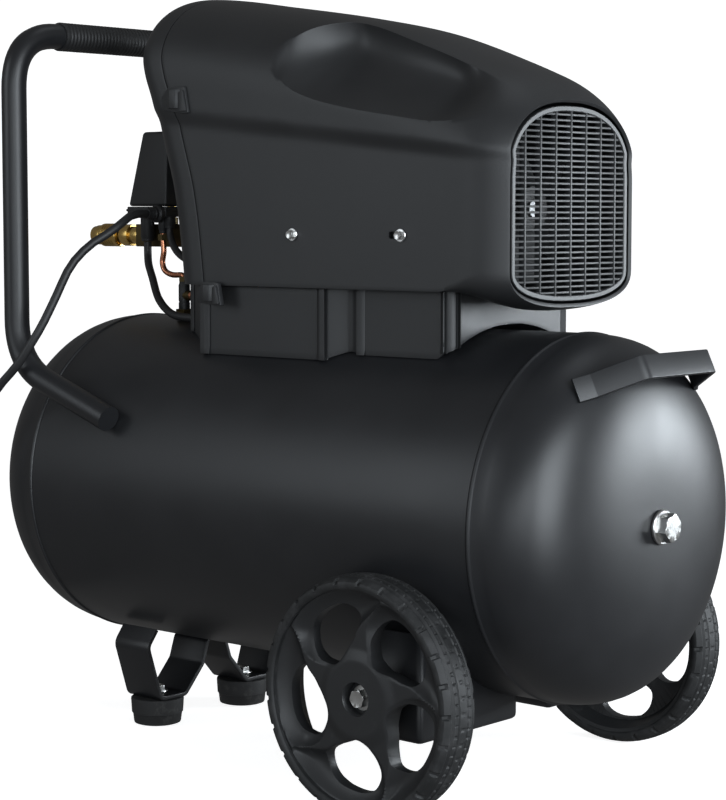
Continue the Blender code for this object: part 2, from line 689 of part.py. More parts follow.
def hood_slice(line, belly=False):
    """Half a cross-section of the hood's outer skin, near side, from below up to the roof's middle line.

    line gives x for a height, so a slice can lean as the rear profile does.
    """
    points = []
    for row in range(-BELLY_ROWS if belly else 0, SIDE_ROWS + TOP_ROWS + 1):
        z = HOOD_BASE_Z + (ROOF[0][1] - HOOD_BASE_Z) * max(0, row) / (SIDE_ROWS + TOP_ROWS)
        for _ in range(4):
            x = line(z)
            spring = between(x, ROOF) - SHOULDER_HEIGHT
            back = max(0.0, 1 - (x - back_line(z)) / REAR_ROUND)
            front = max(0.0, (x - HOOD_FRONT_X) / FRONT_ROUND + FRONT_CUT)
            room = max(0.0, 1 - back ** FULLNESS - front ** FULLNESS) ** (1 / FULLNESS)
            sink = eased((x - BELLY_X) / BELLY_RUN)
            low = HOOD_BASE_Z + (BELLY_ROUND - BELLY_DROP) * sink
            if row < 0:
                angle = math.pi / 2 * -row / BELLY_ROWS
                z = low - BELLY_ROUND * sink * room * math.sin(angle) ** (2 / FULLNESS)
                width = room * max(0.0, math.cos(angle)) ** (2 / FULLNESS)
                if sink < 0.02:
                    width = room * (1 + row / BELLY_ROWS)
            elif row <= SIDE_ROWS:
                z = low + (spring - low) * row / SIDE_ROWS
                width = room
            else:
                angle = math.pi / 2 * (row - SIDE_ROWS) / TOP_ROWS
                z = spring + SHOULDER_HEIGHT * room * math.sin(angle) ** (2 / FULLNESS)
                width = room * max(0.0, math.cos(angle)) ** (2 / FULLNESS)
        half = HOOD_HALF + HOOD_BULGE * eased((z - crease_height(x)) / BULGE_RUN)
        points.append(Vector((x, -(half - scoop_depth(x, z)) * width, z)))
    return points


def scoop_depth(x, z):
    """How deep the long pocket in each side is pressed in; it is a drop shape that shallows to the front."""
    low, high = between(x, SCOOP_LOW), between(x, SCOOP_HIGH)
    if high - low < 0.002:
        return 0.0
    share = (z - low) / (high - low)
    if not 0 < share < 1:
        return 0.0
    start = eased((x - SCOOP_LOW[0][0]) / 0.030)
    end = 1 - 0.75 * eased((x - 0.36) / 0.15)
    return SCOOP_DEPTH * start * end * eased(share / 0.75) * eased((1 - share) / 0.10)


def skin(name, slices, back_wall=False):
    """A shell over half slices and their mirror images; slices with belly rows are closed under the nose."""
    shape = bmesh.new()
    rows = []
    for points in slices:
        near = [shape.verts.new(point) for point in points]
        far = [shape.verts.new((p.x, -p.y, p.z)) for p in points]
        far[-1:] = near[-1:]
        if len(points) > SIDE_ROWS + TOP_ROWS + 1:
            far[0] = near[0]
        rows.append((near, far))
    for (near, far), (next_near, next_far) in zip(rows, rows[1:]):
        for line, after in ((near, next_near), (far, next_far)):
            count = min(len(line), len(after))
            line, after = line[-count:], after[-count:]
            for a, b, c, d in zip(line, line[1:], after[1:], after):
                shape.faces.new((a, b, c, d))
    if back_wall:
        near, far = rows[0]
        for low in range(len(near) - 1):
            corners = [near[low], near[low + 1], far[low + 1], far[low]]
            shape.faces.new(list(dict.fromkeys(corners)))
    bmesh.ops.remove_doubles(shape, verts=shape.verts, dist=0.00001)
    bmesh.ops.dissolve_degenerate(shape, edges=shape.edges, dist=0.00001)
    bmesh.ops.recalc_face_normals(shape, faces=shape.faces)
    top = max(shape.faces, key=lambda face: face.calc_center_median().z)
    if top.normal.z < 0:
        bmesh.ops.reverse_faces(shape, faces=shape.faces)
    mesh = bpy.data.meshes.new(name)
    shape.to_mesh(mesh)
    shape.free()
    thing = place(name, mesh, HOOD_PLASTIC)
    mesh.shade_smooth()
    wall = thing.modifiers.new("wall", "SOLIDIFY")
    wall.thickness = HOOD_WALL
    wall.offset = -1
    return thing


def hood():
    """The main shell, open under the pump and closed under its nose, with its screw holes."""
    slices = []
    for step in range(HOOD_SLICES + 1):
        share = step / HOOD_SLICES
        slices.append(hood_slice(lambda z: (back_line(z) + SEAM_OFFSET + SEAM_GAP) * (1 - share) + BELLY_X * share))
    slices[-1] = hood_slice(lambda z: BELLY_X, belly=True)
    for step in range(1, NOSE_SLICES + 1):
        x = BELLY_X + (HOOD_FRONT_X - BELLY_X) * step / NOSE_SLICES
        slices.append(hood_slice(lambda z: x, belly=True))
    shell = skin("hood", slices)
    for x in HOOD_SCREW_X:
        cut(shell, rod("hood_hole", (x, -0.2, HOOD_SCREW_Z), (x, 0, HOOD_SCREW_Z), HOOD_SCREW_RADIUS + CLEARANCE,
                       None, sides=16))


def rear_cover():
    slices = []
    for step in range(COVER_SLICES + 1):
        offset = 0.0008 + (SEAM_OFFSET - 0.0008) * (step / COVER_SLICES) ** 1.6
        slices.append(hood_slice(lambda z: back_line(z) + offset))
    skin("rear_cover", slices, back_wall=True)


def front_outline(inset):
    """The hood's front edge as (y, z) pairs, drawn in towards its middle by a distance."""
    half = [(p.y, p.z) for p in hood_slice(lambda z: HOOD_FRONT_X, belly=True)]
    loop = [Vector(pair) for pair in half + [(-y, z) for y, z in reversed(half[1:-1])]]
    drawn = []
    for before, here, after in zip(loop[-1:] + loop[:-1], loop, loop[1:] + loop[:1]):
        along = (after - before).normalized()
        drawn.append(here + Vector((along.y, -along.x)) * -inset)
    middle = Vector((0, (GRILLE_LOW_Z + GRILLE_HIGH_Z) / 2))
    if (drawn[0] - middle).length > (loop[0] - middle).length:
        drawn = [2 * old - new for old, new in zip(loop, drawn)]
    return drawn


def intake_grille():
    shape = bmesh.new()
    back = HOOD_FRONT_X - GRILLE_SETBACK - GRILLE_THICKNESS
    face = shape.faces.new([shape.verts.new((back, y, z)) for y, z in front_outline(GRILLE_INSET)])
    raised = bmesh.ops.extrude_face_region(shape, geom=[face])["geom"]
    bmesh.ops.translate(shape, vec=(GRILLE_THICKNESS, 0, 0),
                        verts=[part for part in raised if isinstance(part, bmesh.types.BMVert)])
    grille = place("intake_grille", as_mesh("intake_grille", shape), BLACK_PLASTIC)
    shape = bmesh.new()
    pitch_y = 2 * GRILLE_HALF / GRILLE_COLUMNS
    tall = GRILLE_HIGH_Z - GRILLE_LOW_Z - 2 * GRILLE_BORDER
    middle = (GRILLE_LOW_Z + GRILLE_HIGH_Z) / 2
    for column in range(GRILLE_COLUMNS):
        y = -GRILLE_HALF + pitch_y * (column + 0.5)
        share = (1 - (abs(y) / GRILLE_HALF) ** 4) ** 0.25
        size = Matrix.Diagonal((0.1, pitch_y - 0.0026, tall * share, 1.0))
        bmesh.ops.create_cube(shape, size=1.0, matrix=Matrix.Translation((back, y, middle)) @ size)
    cut(grille, place("grille_gaps", as_mesh("grille_gaps", shape), BLACK_PLASTIC))


def hood_screws():
    """The two washer-head screws low on the hood's near side."""
    seat = -(HOOD_HALF + CLEARANCE)
    for number, x in enumerate(HOOD_SCREW_X, 1):
        washer = rod(f"hood_screw_{number}", (x, seat, HOOD_SCREW_Z), (x, seat - 0.0012, HOOD_SCREW_Z), 0.0055, ZINC,
                     sides=24)
        head = rod("screw_head", (x, seat - 0.0006, HOOD_SCREW_Z), (x, seat - 0.0045, HOOD_SCREW_Z), 0.0038, ZINC,
                   sides=6)
        shank = rod("screw_shank", (x, seat + 0.012, HOOD_SCREW_Z), (x, seat - 0.0006, HOOD_SCREW_Z),
                    HOOD_SCREW_RADIUS - 0.0002, ZINC, sides=16)
        join(washer, head, shank)


def snap_clips():
    """Moulded clips that lap over the joints between hood, rear cover and cowl."""
    for level, (x, z, long, tall) in (("upper", CLIP_UPPER), ("lower", CLIP_LOWER)):
        for name, side in (("near", -1), ("far", 1)):
            inner, outer = side * (CLIP_SEAT_Y + CLEARANCE), side * (CLIP_SEAT_Y + CLIP_RISE)
            near, far = sorted((inner, outer))
            clip = box(f"clip_{level}_{name}", (x - long / 2, near, z - tall / 2), (x + long / 2, far, z + tall / 2),
                       HOOD_PLASTIC)
            edge = clip.modifiers.new("edge", "BEVEL")
            edge.width = 0.002
            edge.segments = 1


def cowl_outline():
    """The cowl's plan, near side, from the middle of its back to the middle of its front."""
    step_in = COWL_HALF - COWL_STEP
    corner = arc((COWL_FRONT_X - 0.012, -(step_in - 0.012)), 0.012, -90, 0, 4)
    return [
        (COWL_BACK_X, 0.0), (COWL_BACK_X, -(COWL_HALF - COWL_CHAMFER)), (COWL_BACK_X + COWL_CHAMFER * 1.6, -COWL_HALF),
        (COWL_STEP_X - 0.008, -COWL_HALF), (COWL_STEP_X - 0.002, -COWL_HALF + 0.002),
        (COWL_STEP_X + 0.002, -step_in - 0.002), (COWL_STEP_X + 0.010, -step_in), *corner, (COWL_FRONT_X, 0.0),
    ]


def base_cowl():
    """The lower shell around the pump's foot, its lower edge following the tank, arched clear in front."""
    half = cowl_outline()
    loop = half + [(x, -y) for x, y in reversed(half[1:-1])]
    shape = bmesh.new()
    low = [shape.verts.new((x, y, tank_top(0.1) - 0.02)) for x, y in loop]
    high = [shape.verts.new((x, y, COWL_TOP_Z)) for x, y in loop]
    for a, b, c, d in zip(low, low[1:] + low[:1], high[1:] + high[:1], high):
        shape.faces.new((a, b, c, d))
    bmesh.ops.recalc_face_normals(shape, faces=shape.faces)
    mesh = bpy.data.meshes.new("base_cowl")
    shape.to_mesh(mesh)
    shape.free()
    cowl = place("base_cowl", mesh, HOOD_PLASTIC)
    wall = cowl.modifiers.new("wall", "SOLIDIFY")
    wall.thickness = HOOD_WALL
    wall.offset = -1 if mesh.polygons[0].normal.x < 0 else 1
    arch = rod("cowl_arch", (COWL_FRONT_X - 0.02, 0, TANK_AXIS_Z), (COWL_FRONT_X + 0.02, 0, TANK_AXIS_Z),
               TANK_RADIUS + COWL_ARCH, None)
    before, behind = COWL_BACK_X - 0.01, COWL_BACK_X + 0.01
    port_at, cable_at = (VALVE_XY[1], VALVE_PORT_Z), MOTOR_CABLE[-1][1:]
    port = rod("cowl_port", (before, *port_at), (behind, *port_at), PORT_RADIUS, None, sides=24)
    cable = rod("cowl_cable", (before, *cable_at), (behind, *cable_at), CABLE_RADIUS + 0.0012, None, sides=24)
    cut(cowl, tank_cutter("cowl_tank", 0.0008), arch, port, cable)


# Pump and motor

def pump_saddle():
    """A folded plate that carries pump and motor, its edges standing on the tank."""
    low, high = SADDLE_X
    plate = box("pump_saddle", (low, -SADDLE_HALF, tank_top(SADDLE_HALF) - 0.004), (high, SADDLE_HALF, SADDLE_Z), STEEL)
    under = box("saddle_under", (low - 0.01, -SADDLE_HALF + SHEET, tank_top(SADDLE_HALF) - 0.02),
                (high + 0.01, SADDLE_HALF - SHEET, SADDLE_Z - SHEET), None)
    cut(plate, under, tank_cutter("saddle_tank"))


def motor():
    """A finned stator can with its feet, and the shaft with rotor core and crank web that turns in it."""
    start, end = MOTOR_X
    can = rod("motor_housing", (start, 0, SHAFT_Z), (end, 0, SHAFT_Z), MOTOR_RADIUS, CAST_ALUMINIUM)
    bore = rod("motor_bore", (start + 0.012, 0, SHAFT_Z), (end - 0.012, 0, SHAFT_Z), ROTOR_RADIUS + 0.001, None,
               sides=28)
    shaft_way = rod("motor_shaft_way", (start - 0.01, 0, SHAFT_Z), (end + 0.01, 0, SHAFT_Z), SHAFT_RADIUS + 0.0004,
                    None,
                    sides=24)
    foot = box("motor_foot", (start + 0.015, -0.045, SADDLE_Z + CLEARANCE), (end - 0.015, 0.045, SHAFT_Z - 0.055),
               CAST_ALUMINIUM)
    cut(join(can, foot), bore, shaft_way)
    web_x = CRANKCASE_X[0] + 0.052
    shaft = rod("rotor_shaft", (web_x, 0, SHAFT_Z), (FAN_X + 0.018, 0, SHAFT_Z), SHAFT_RADIUS, STEEL, sides=24)
    core = rod("rotor_core", (start + 0.020, 0, SHAFT_Z), (end - 0.020, 0, SHAFT_Z), ROTOR_RADIUS, STEEL, sides=28)
    web = rod("crank_web", (web_x, 0, SHAFT_Z), (web_x + 0.012, 0, SHAFT_Z), 0.028, STEEL, sides=32)
    pin = rod("crank_pin", (web_x - 0.003, 0, SHAFT_Z + CRANK_THROW), (web_x + 0.004, 0, SHAFT_Z + CRANK_THROW), 0.006,
              STEEL, sides=20)
    join(shaft, core, web, pin)


def cooling_fan():
    """Six flat-pitched blades round a hub, fixed on the end of the shaft behind the grille."""
    hub = rod("cooling_fan", (FAN_X - 0.006, 0, SHAFT_Z), (FAN_X + 0.016, 0, SHAFT_Z), 0.019, BLACK_PLASTIC, sides=24)
    for blade in range(6):
        turn = Matrix.Rotation(math.tau * blade / 6, 4, "X") @ Matrix.Translation((0, 0, (FAN_RADIUS + 0.012) / 2))
        turn = turn @ Matrix.Rotation(math.radians(35), 4, "Z")
        shape = bmesh.new()
        size = Matrix.Diagonal((0.0026, 0.030, FAN_RADIUS - 0.012, 1.0))
        bmesh.ops.create_cube(shape, size=1.0, matrix=Matrix.Translation((FAN_X + 0.005, 0, SHAFT_Z)) @ turn @ size)
        join(hub, place("blade", as_mesh("blade", shape), BLACK_PLASTIC))
    bore = rod("fan_bore", (FAN_X - 0.02, 0, SHAFT_Z), (FAN_X + 0.03, 0, SHAFT_Z), SHAFT_RADIUS + CLEARANCE, None,
               sides=24)
    cut(hub, bore)


def crankcase():
    start, end = CRANKCASE_X
    top = CYLINDER_Z[0] - CLEARANCE
    case = box("crankcase", (start, -CRANKCASE_HALF, SADDLE_Z + CLEARANCE), (end, CRANKCASE_HALF, top), CAST_ALUMINIUM)
    edge = case.modifiers.new("edge", "BEVEL")
    edge.width = 0.008
    edge.segments = 2
    hollow = box("case_hollow", (start + 0.006, -0.045, SADDLE_Z + 0.02), (end - 0.008, 0.045, top - 0.008), None)
    mouth = rod("case_mouth", (CYLINDER_X, 0, top - 0.02), (CYLINDER_X, 0, top + 0.01), BORE_RADIUS + 0.002, None,
                sides=32)
    way = rod("case_way", (end - 0.02, 0, SHAFT_Z), (end + 0.01, 0, SHAFT_Z), SHAFT_RADIUS + 0.0004, None, sides=24)
    cut(case, hollow, mouth, way)


def cylinder_and_head():
    low, high = CYLINDER_Z
    profile = [(BORE_RADIUS, high)]
    fins = 3
    for fin in range(fins):
        top = high - (high - low) * fin / fins
        step = (high - low) / fins
        profile += [(CYLINDER_RADIUS, top), (CYLINDER_RADIUS, top - step * 0.4),
                    (BORE_RADIUS + 0.005, top - step * 0.4),
                    (BORE_RADIUS + 0.005, top - step)]
    profile += [(BORE_RADIUS, low)]
    turned("cylinder", profile, (CYLINDER_X, 0, 0), (CYLINDER_X, 0, 1), CAST_ALUMINIUM, steps=20, ring=True)
    base = high + CLEARANCE
    half = HEAD_BLOCK_HALF
    head = box("cylinder_head", (CYLINDER_X - half, -half, base), (CYLINDER_X + half, half, base + HEAD_BLOCK),
               CAST_ALUMINIUM)
    for row in range(4):
        y = -half + 2 * half * (row + 0.5) / 4
        cut(head, box("head_gap", (CYLINDER_X - half - 0.01, y - 0.005, base + 0.012),
                      (CYLINDER_X + half + 0.01, y + 0.005, base + HEAD_BLOCK + 0.01), None))
    crown = high - 0.006
    piston = rod("piston_and_rod", (CYLINDER_X, 0, crown - 0.016), (CYLINDER_X, 0, crown), PISTON_RADIUS,
                 CAST_ALUMINIUM,
                 sides=32)
    eye_z = SHAFT_Z + CRANK_THROW
    shank = box("rod_shank", (CYLINDER_X - 0.004, -0.006, eye_z + 0.008), (CYLINDER_X + 0.004, 0.006, crown - 0.010),
                CAST_ALUMINIUM)
    eye = rod("rod_eye", (CYLINDER_X - 0.005, 0, eye_z), (CYLINDER_X + 0.005, 0, eye_z), 0.012, CAST_ALUMINIUM,
              sides=24)
    eye_way = rod("rod_eye_way", (CYLINDER_X - 0.01, 0, eye_z), (CYLINDER_X + 0.01, 0, eye_z), 0.0068, None, sides=24)
    cut(join(piston, shank, eye), eye_way)


def discharge_tube():
    """The pressure pipe from the head down inside the hood and out through the cowl to the check valve."""
    x, y = VALVE_XY
    head_x = CYLINDER_X - HEAD_BLOCK_HALF - CLEARANCE
    head_z = CYLINDER_Z[1] + 0.0085
    route = [(x + VALVE_RADIUS + 0.004 + CLEARANCE, y, VALVE_PORT_Z), (0.135, y, VALVE_PORT_Z),
             (0.160, y, VALVE_PORT_Z + 0.004), (0.172, y, VALVE_PORT_Z + 0.024), (0.172, y, head_z - 0.1005),
             (0.170, y, head_z - 0.0305), (0.174, y, head_z - 0.0085), (head_x - 0.010, y, head_z), (head_x, y, head_z)]
    pipe("discharge_tube", smooth_route(route, 0.012), DISCHARGE_RADIUS, COPPER)


# Air fittings and controls at the handle end

def check_valve():
    x, y = VALVE_XY
    foot = tank_top(y) + CLEARANCE
    body = rod("check_valve", (x, y, foot - 0.002), (x, y, VALVE_TOP_Z), VALVE_RADIUS, BLACK_PLASTIC, sides=24)
    nut = rod("valve_nut", (x, y, foot + 0.001), (x, y, foot + 0.009), VALVE_RADIUS + 0.0035, BRASS, sides=6)
    port = rod("valve_port", (x, y, VALVE_PORT_Z), (x + VALVE_RADIUS + 0.004, y, VALVE_PORT_Z), 0.0050, BRASS, sides=20)
    cut(join(body, nut, port), tank_cutter("valve_tank"))


def unloader_tube():
    """The thin copper line from the check valve to the relief port under the pressure switch."""
    x, y = VALVE_XY
    bends = ((0.0, CLEARANCE), (0.0, 0.0035), (-0.0040, 0.0055), (-0.016, 0.0055), (-0.026, 0.0090), (-0.030, 0.0170),
             (-0.028, 0.0280), (PORT_OFFSET, 0.0400), (PORT_OFFSET, RELIEF_PORT_Z - VALVE_TOP_Z))
    route = [(x + over, y, VALVE_TOP_Z + rise) for over, rise in bends]
    pipe("unloader_tube", smooth_route(route, 0.003), COPPER_RADIUS, COPPER)


def manifold():
    """A square brass bar on a riser from the tank; switch, coupler, regulator, gauge and relief valve sit on it."""
    low, high = MANIFOLD_X
    half = MANIFOLD_HALF
    bar = box("manifold", (low, -half, MANIFOLD_Z - half), (high, half, MANIFOLD_Z + half), BRASS)
    riser = rod("manifold_riser", (RISER_X, 0, tank_top(0) + CLEARANCE), (RISER_X, 0, MANIFOLD_Z), RISER_RADIUS,
                STEEL, sides=24)
    neck = rod("manifold_neck", (0.0265, 0, MANIFOLD_Z), (0.0265, 0, SWITCH_Z[0] - CLEARANCE), 0.009, BRASS, sides=24)
    cut(join(bar, riser, neck), tank_cutter("riser_tank"))


def quick_coupler():
    low = MANIFOLD_X[0]
    profile = [(0.0045, 0.070), (0.0075, 0.070), (0.0075, 0.0255), (0.0105, 0.0255), (0.0105, 0.014), (0.0085, 0.014),
               (0.0085, 0.0), (0.0045, 0.0)]
    start = (low - CLEARANCE, 0, MANIFOLD_Z)
    turned("quick_coupler", profile, start, (start[0] - 1, 0, MANIFOLD_Z), BRASS, steps=24, ring=True)
    near, far = SLEEVE_X
    inner = 0.0075 + 0.0005
    ring = [(inner, far - near), (SLEEVE_RADIUS, far - near), (SLEEVE_RADIUS, (far - near) * 0.7),
            (SLEEVE_RADIUS - 0.0015, (far - near) * 0.6), (SLEEVE_RADIUS, (far - near) * 0.5), (SLEEVE_RADIUS, 0.0),
            (inner, 0.0)]
    turned("coupler_sleeve", ring, (near, 0, MANIFOLD_Z), (far, 0, MANIFOLD_Z), BRASS, steps=24, ring=True)


def pressure_switch():
    """A moulded base with its cover, which leans in on the handle side, and a turning auto/off knob there."""
    low, high = SWITCH_X
    floor, top = SWITCH_Z
    half = SWITCH_HALF
    base = box("pressure_switch_base", (low - 0.001, -half - 0.001, floor),
               (high + 0.001, half + 0.001, floor + SWITCH_BASE),
               BLACK_PLASTIC)
    port_at = (VALVE_XY[0] + PORT_OFFSET, VALVE_XY[1])
    port = rod("relief_port", (*port_at, floor + 0.002), (*port_at, RELIEF_PORT_Z + CLEARANCE), 0.0045, BLACK_PLASTIC,
               sides=20)
    gland = rod("motor_gland", (MOTOR_CABLE[0][0], MOTOR_CABLE[0][1], floor + 0.002),
                (MOTOR_CABLE[0][0], MOTOR_CABLE[0][1], MOTOR_CABLE[0][2] + 2 * CLEARANCE), 0.0065, BLACK_PLASTIC,
                sides=24)
    join(base, port, gland)
    shape = bmesh.new()
    bmesh.ops.create_cube(shape, size=1.0, matrix=Matrix.Translation((0, 0, 0.5)))
    for corner in shape.verts:
        x = (low if corner.co.x < 0 else high) + (SWITCH_LEAN if corner.co.x < 0 and corner.co.z > 0.5 else 0)
        narrow = 0.003 if corner.co.z > 0.5 else 0
        corner.co = (x, math.copysign(half - narrow, corner.co.y),
                     floor + SWITCH_BASE + CLEARANCE if corner.co.z < 0.5 else top)
    cover = place("pressure_switch_cover", as_mesh("pressure_switch_cover", shape), BLACK_PLASTIC)
    edge = cover.modifiers.new("edge", "BEVEL")
    edge.width = 0.003
    edge.segments = 2
    face_x = low + SWITCH_LEAN * (KNOB_Z - floor) / (top - floor) - 0.004
    boss = rod("knob_boss", (face_x, 0, KNOB_Z), (face_x + 0.02, 0, KNOB_Z), 0.013, BLACK_PLASTIC, sides=32)
    join(cover, boss)
    knob = rod("switch_knob", (face_x - CLEARANCE, 0, KNOB_Z), (face_x - 0.008, 0, KNOB_Z), 0.0115, RED, sides=32)
    bar = box("knob_bar", (face_x - 0.014, -0.003, KNOB_Z - 0.0112), (face_x - 0.004, 0.003, KNOB_Z + 0.0112), RED)
    join(knob, bar)


def regulator():
    """A pressure regulator on the manifold's far side with its ribbed setting knob."""
    start = MANIFOLD_HALF + CLEARANCE
    end = start + 0.030
    rod("regulator", (REGULATOR_X, start, MANIFOLD_Z), (REGULATOR_X, end, MANIFOLD_Z), REGULATOR_RADIUS, BRASS,
               sides=32)
    rod("regulator_knob", (REGULATOR_X, end + CLEARANCE, MANIFOLD_Z), (REGULATOR_X, end + 0.024, MANIFOLD_Z),
               0.0150, BLACK_PLASTIC, tip_radius=0.0140, sides=12)


def pressure_gauge():
    x, y, z = GAUGE_AT
    depth = 0.014
    profile = [(0.0, depth - 0.004), (GAUGE_RADIUS - 0.0025, depth - 0.004), (GAUGE_RADIUS - 0.0025, depth),
               (GAUGE_RADIUS, depth), (GAUGE_RADIUS, 0.0), (0.0, 0.0)]
    can = real_mesh(turned("pressure_gauge", profile, (x + depth, y, z), (x, y, z), BLACK_PLASTIC, steps=40))
    stem = rod("gauge_stem", (x + depth / 2, y, z - GAUGE_RADIUS + 0.003), (x + depth / 2, y, MANIFOLD_Z - 0.002),
               0.0038, BRASS, sides=16)
    elbow = box("gauge_elbow", (x + depth / 2 - 0.0045, MANIFOLD_HALF + CLEARANCE, MANIFOLD_Z - 0.005),
                (x + depth / 2 + 0.0045, y + 0.005, MANIFOLD_Z + 0.005), BRASS)
    join(can, stem, elbow)
    face_x = x + 0.004 - CLEARANCE
    needle = rod("gauge_needle", (face_x, y, z), (face_x - 0.0016, y, z), 0.0022, RED, sides=16)
    pointer = box("needle_pointer", (face_x - 0.0010, y - 0.0006, z - 0.004),
                  (face_x - 0.0004, y + 0.0006, z + 0.0135), RED)
    centre = Vector((face_x, y, z))
    turn = Matrix.Translation(centre) @ Matrix.Rotation(math.radians(-135), 4, "X") @ Matrix.Translation(-centre)
    pointer.matrix_world = turn @ pointer.matrix_world
    join(needle, pointer)


def safety_valve():
    """The relief valve over the riser and its pull ring."""
    base = MANIFOLD_Z + MANIFOLD_HALF + CLEARANCE
    body = rod("safety_valve", (RISER_X, 0, base), (RISER_X, 0, base + 0.022), 0.0075, BRASS, sides=24)
    hexagon = rod("safety_hex", (RISER_X, 0, base + 0.002), (RISER_X, 0, base + 0.009), 0.0100, BRASS, sides=6)
    join(body, hexagon)
    start = base + 0.022 + CLEARANCE
    ring = rod("safety_ring", (RISER_X, 0, start), (RISER_X, 0, start + 0.006), 0.0025, ZINC, sides=16)
    loop = arc((0.0, start + 0.013), 0.009, 0, 360, 16)[:-1]
    hoop = pipe("ring_hoop", [(RISER_X, y, z) for y, z in loop], 0.0011, ZINC)
    hoop.data.splines[0].use_cyclic_u = True
    hoop.data.use_fill_caps = False
    join(ring, real_mesh(hoop))


# Cords

def cord_pieces():
    gland_x, gland_z = GLAND_AT
    seat = -(SWITCH_HALF + 0.001 + CLEARANCE)
    exit_y = CORD_ROUTE[0][1]
    gland = rod("cord_gland", (gland_x, seat, gland_z), (gland_x, exit_y + 2 * CLEARANCE, gland_z), GLAND_RADIUS,
                BLACK_PLASTIC, tip_radius=CORD_RADIUS + 0.0012, sides=24)
    route = smooth_route(CORD_ROUTE, CORD_RADIUS * 5)
    pipe("mains_cord", route, CORD_RADIUS, RUBBER)
    pipe("motor_cable", smooth_route(MOTOR_CABLE, CABLE_RADIUS * 2.5), CABLE_RADIUS, RUBBER)
    x, y = COIL_AT
    height = 2 * COIL_TUBE
    inner, outer = COIL_RADIUS - COIL_TUBE, COIL_RADIUS + COIL_TUBE
    ring = [(inner, height), (outer, height), (outer, 0.0), (inner, 0.0)]
    turned("cord_coil", ring, (x, y, CLEARANCE), (x, y, 1), RUBBER, steps=40, ring=True)
    mains_plug()


def mains_plug():
    """A moulded two-pin plug lying on the floor beside the coil, its pins pointing away from the cord."""
    x, y, z = PLUG_AT
    direction = Vector(PLUG_TOWARD).normalized()
    side = Vector((-direction.y, direction.x, 0))
    start = Vector((x, y, z))
    body = rod("mains_plug", start, start + direction * 0.020, CORD_RADIUS + 0.0015, BLACK_PLASTIC,
               tip_radius=0.0125, sides=32)
    barrel = rod("plug_barrel", start + direction * 0.018, start + direction * 0.042, PLUG_RADIUS - 0.003,
                 BLACK_PLASTIC,
                 tip_radius=PLUG_RADIUS, sides=32)
    join(body, barrel)
    for offset in (-0.0095, 0.0095):
        foot = start + direction * 0.040 + side * offset
        join(body, rod("plug_pin", foot, foot + direction * 0.021, 0.0024, STEEL, sides=16))


def build():
    tank_shell()
    tank_head("tank_head_rear", 0.0, -1, 0.0)
    tank_head("tank_head_front", TANK_LENGTH, 1, PLUG_SHANK_RADIUS + CLEARANCE)
    inspection_plug()
    drain_valve()
    foot_strip()
    rubber_feet()
    for name, side in (("near", -1), ("far", 1)):
        wheel_bracket(f"wheel_bracket_{name}", side)
        wheel_disc(f"wheel_{name}", side)
        tyre(f"tyre_{name}", side)
        wheel_bolt(f"wheel_bolt_{name}", side)
    push_handle()
    lift_handle()
    hood()
    rear_cover()
    intake_grille()
    hood_screws()
    snap_clips()
    base_cowl()
    pump_saddle()
    motor()
    cooling_fan()
    crankcase()
    cylinder_and_head()
    discharge_tube()
    check_valve()
    unloader_tube()
    manifold()
    quick_coupler()
    pressure_switch()
    regulator()
    pressure_gauge()
    safety_valve()
    cord_pieces()


build()

# The origin: on the floor, in the middle of the machine without its cord.
middle = (COUPLER_TIP_X + LIFT_X + LIFT_REACH) / 2
for thing in list(MACHINE.objects) + list(CUTTERS.objects):
    thing.matrix_world = Matrix.Translation((-middle, 0, 0)) @ thing.matrix_world
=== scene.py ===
"""The looks of a wheeled 50 litre air compressor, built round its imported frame."""

import json
import math

import bmesh
import bpy
from mathutils import Matrix, Vector

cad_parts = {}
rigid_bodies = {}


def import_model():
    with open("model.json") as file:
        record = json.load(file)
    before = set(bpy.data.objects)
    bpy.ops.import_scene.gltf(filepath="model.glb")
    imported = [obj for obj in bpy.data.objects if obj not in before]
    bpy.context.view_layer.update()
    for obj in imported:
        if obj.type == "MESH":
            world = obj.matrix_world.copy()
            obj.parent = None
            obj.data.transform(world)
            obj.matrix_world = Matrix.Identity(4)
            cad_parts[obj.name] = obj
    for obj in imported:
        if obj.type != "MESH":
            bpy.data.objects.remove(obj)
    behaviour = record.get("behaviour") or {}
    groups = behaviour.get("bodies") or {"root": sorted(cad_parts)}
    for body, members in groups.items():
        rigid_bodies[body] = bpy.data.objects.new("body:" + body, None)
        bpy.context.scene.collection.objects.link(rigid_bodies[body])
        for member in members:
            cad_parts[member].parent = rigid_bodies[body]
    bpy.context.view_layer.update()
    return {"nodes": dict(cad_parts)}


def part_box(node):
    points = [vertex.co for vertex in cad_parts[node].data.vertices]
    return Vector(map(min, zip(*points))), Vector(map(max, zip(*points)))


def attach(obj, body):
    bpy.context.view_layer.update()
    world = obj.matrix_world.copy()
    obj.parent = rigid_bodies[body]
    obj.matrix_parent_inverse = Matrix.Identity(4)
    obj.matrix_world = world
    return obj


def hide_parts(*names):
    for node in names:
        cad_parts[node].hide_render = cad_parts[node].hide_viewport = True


for old in list(bpy.data.objects):
    bpy.data.objects.remove(old)

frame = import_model()

# --------------------------------------------------------------------------------------------------------
# The studio: a pale floor that runs up into a pale backdrop, lit by large soft lamps. Everything after
# this is placed along X from the tank's seam at the handle end, and up from the floor.

SEAM_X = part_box("tank_shell")[0][0] - 0.0003
NEAR, FAR = -1, 1


def at(x, y, z):
    """A point given along the tank from its handle-end seam, in the frame's own coordinates."""
    return Vector((x + SEAM_X, y, z))


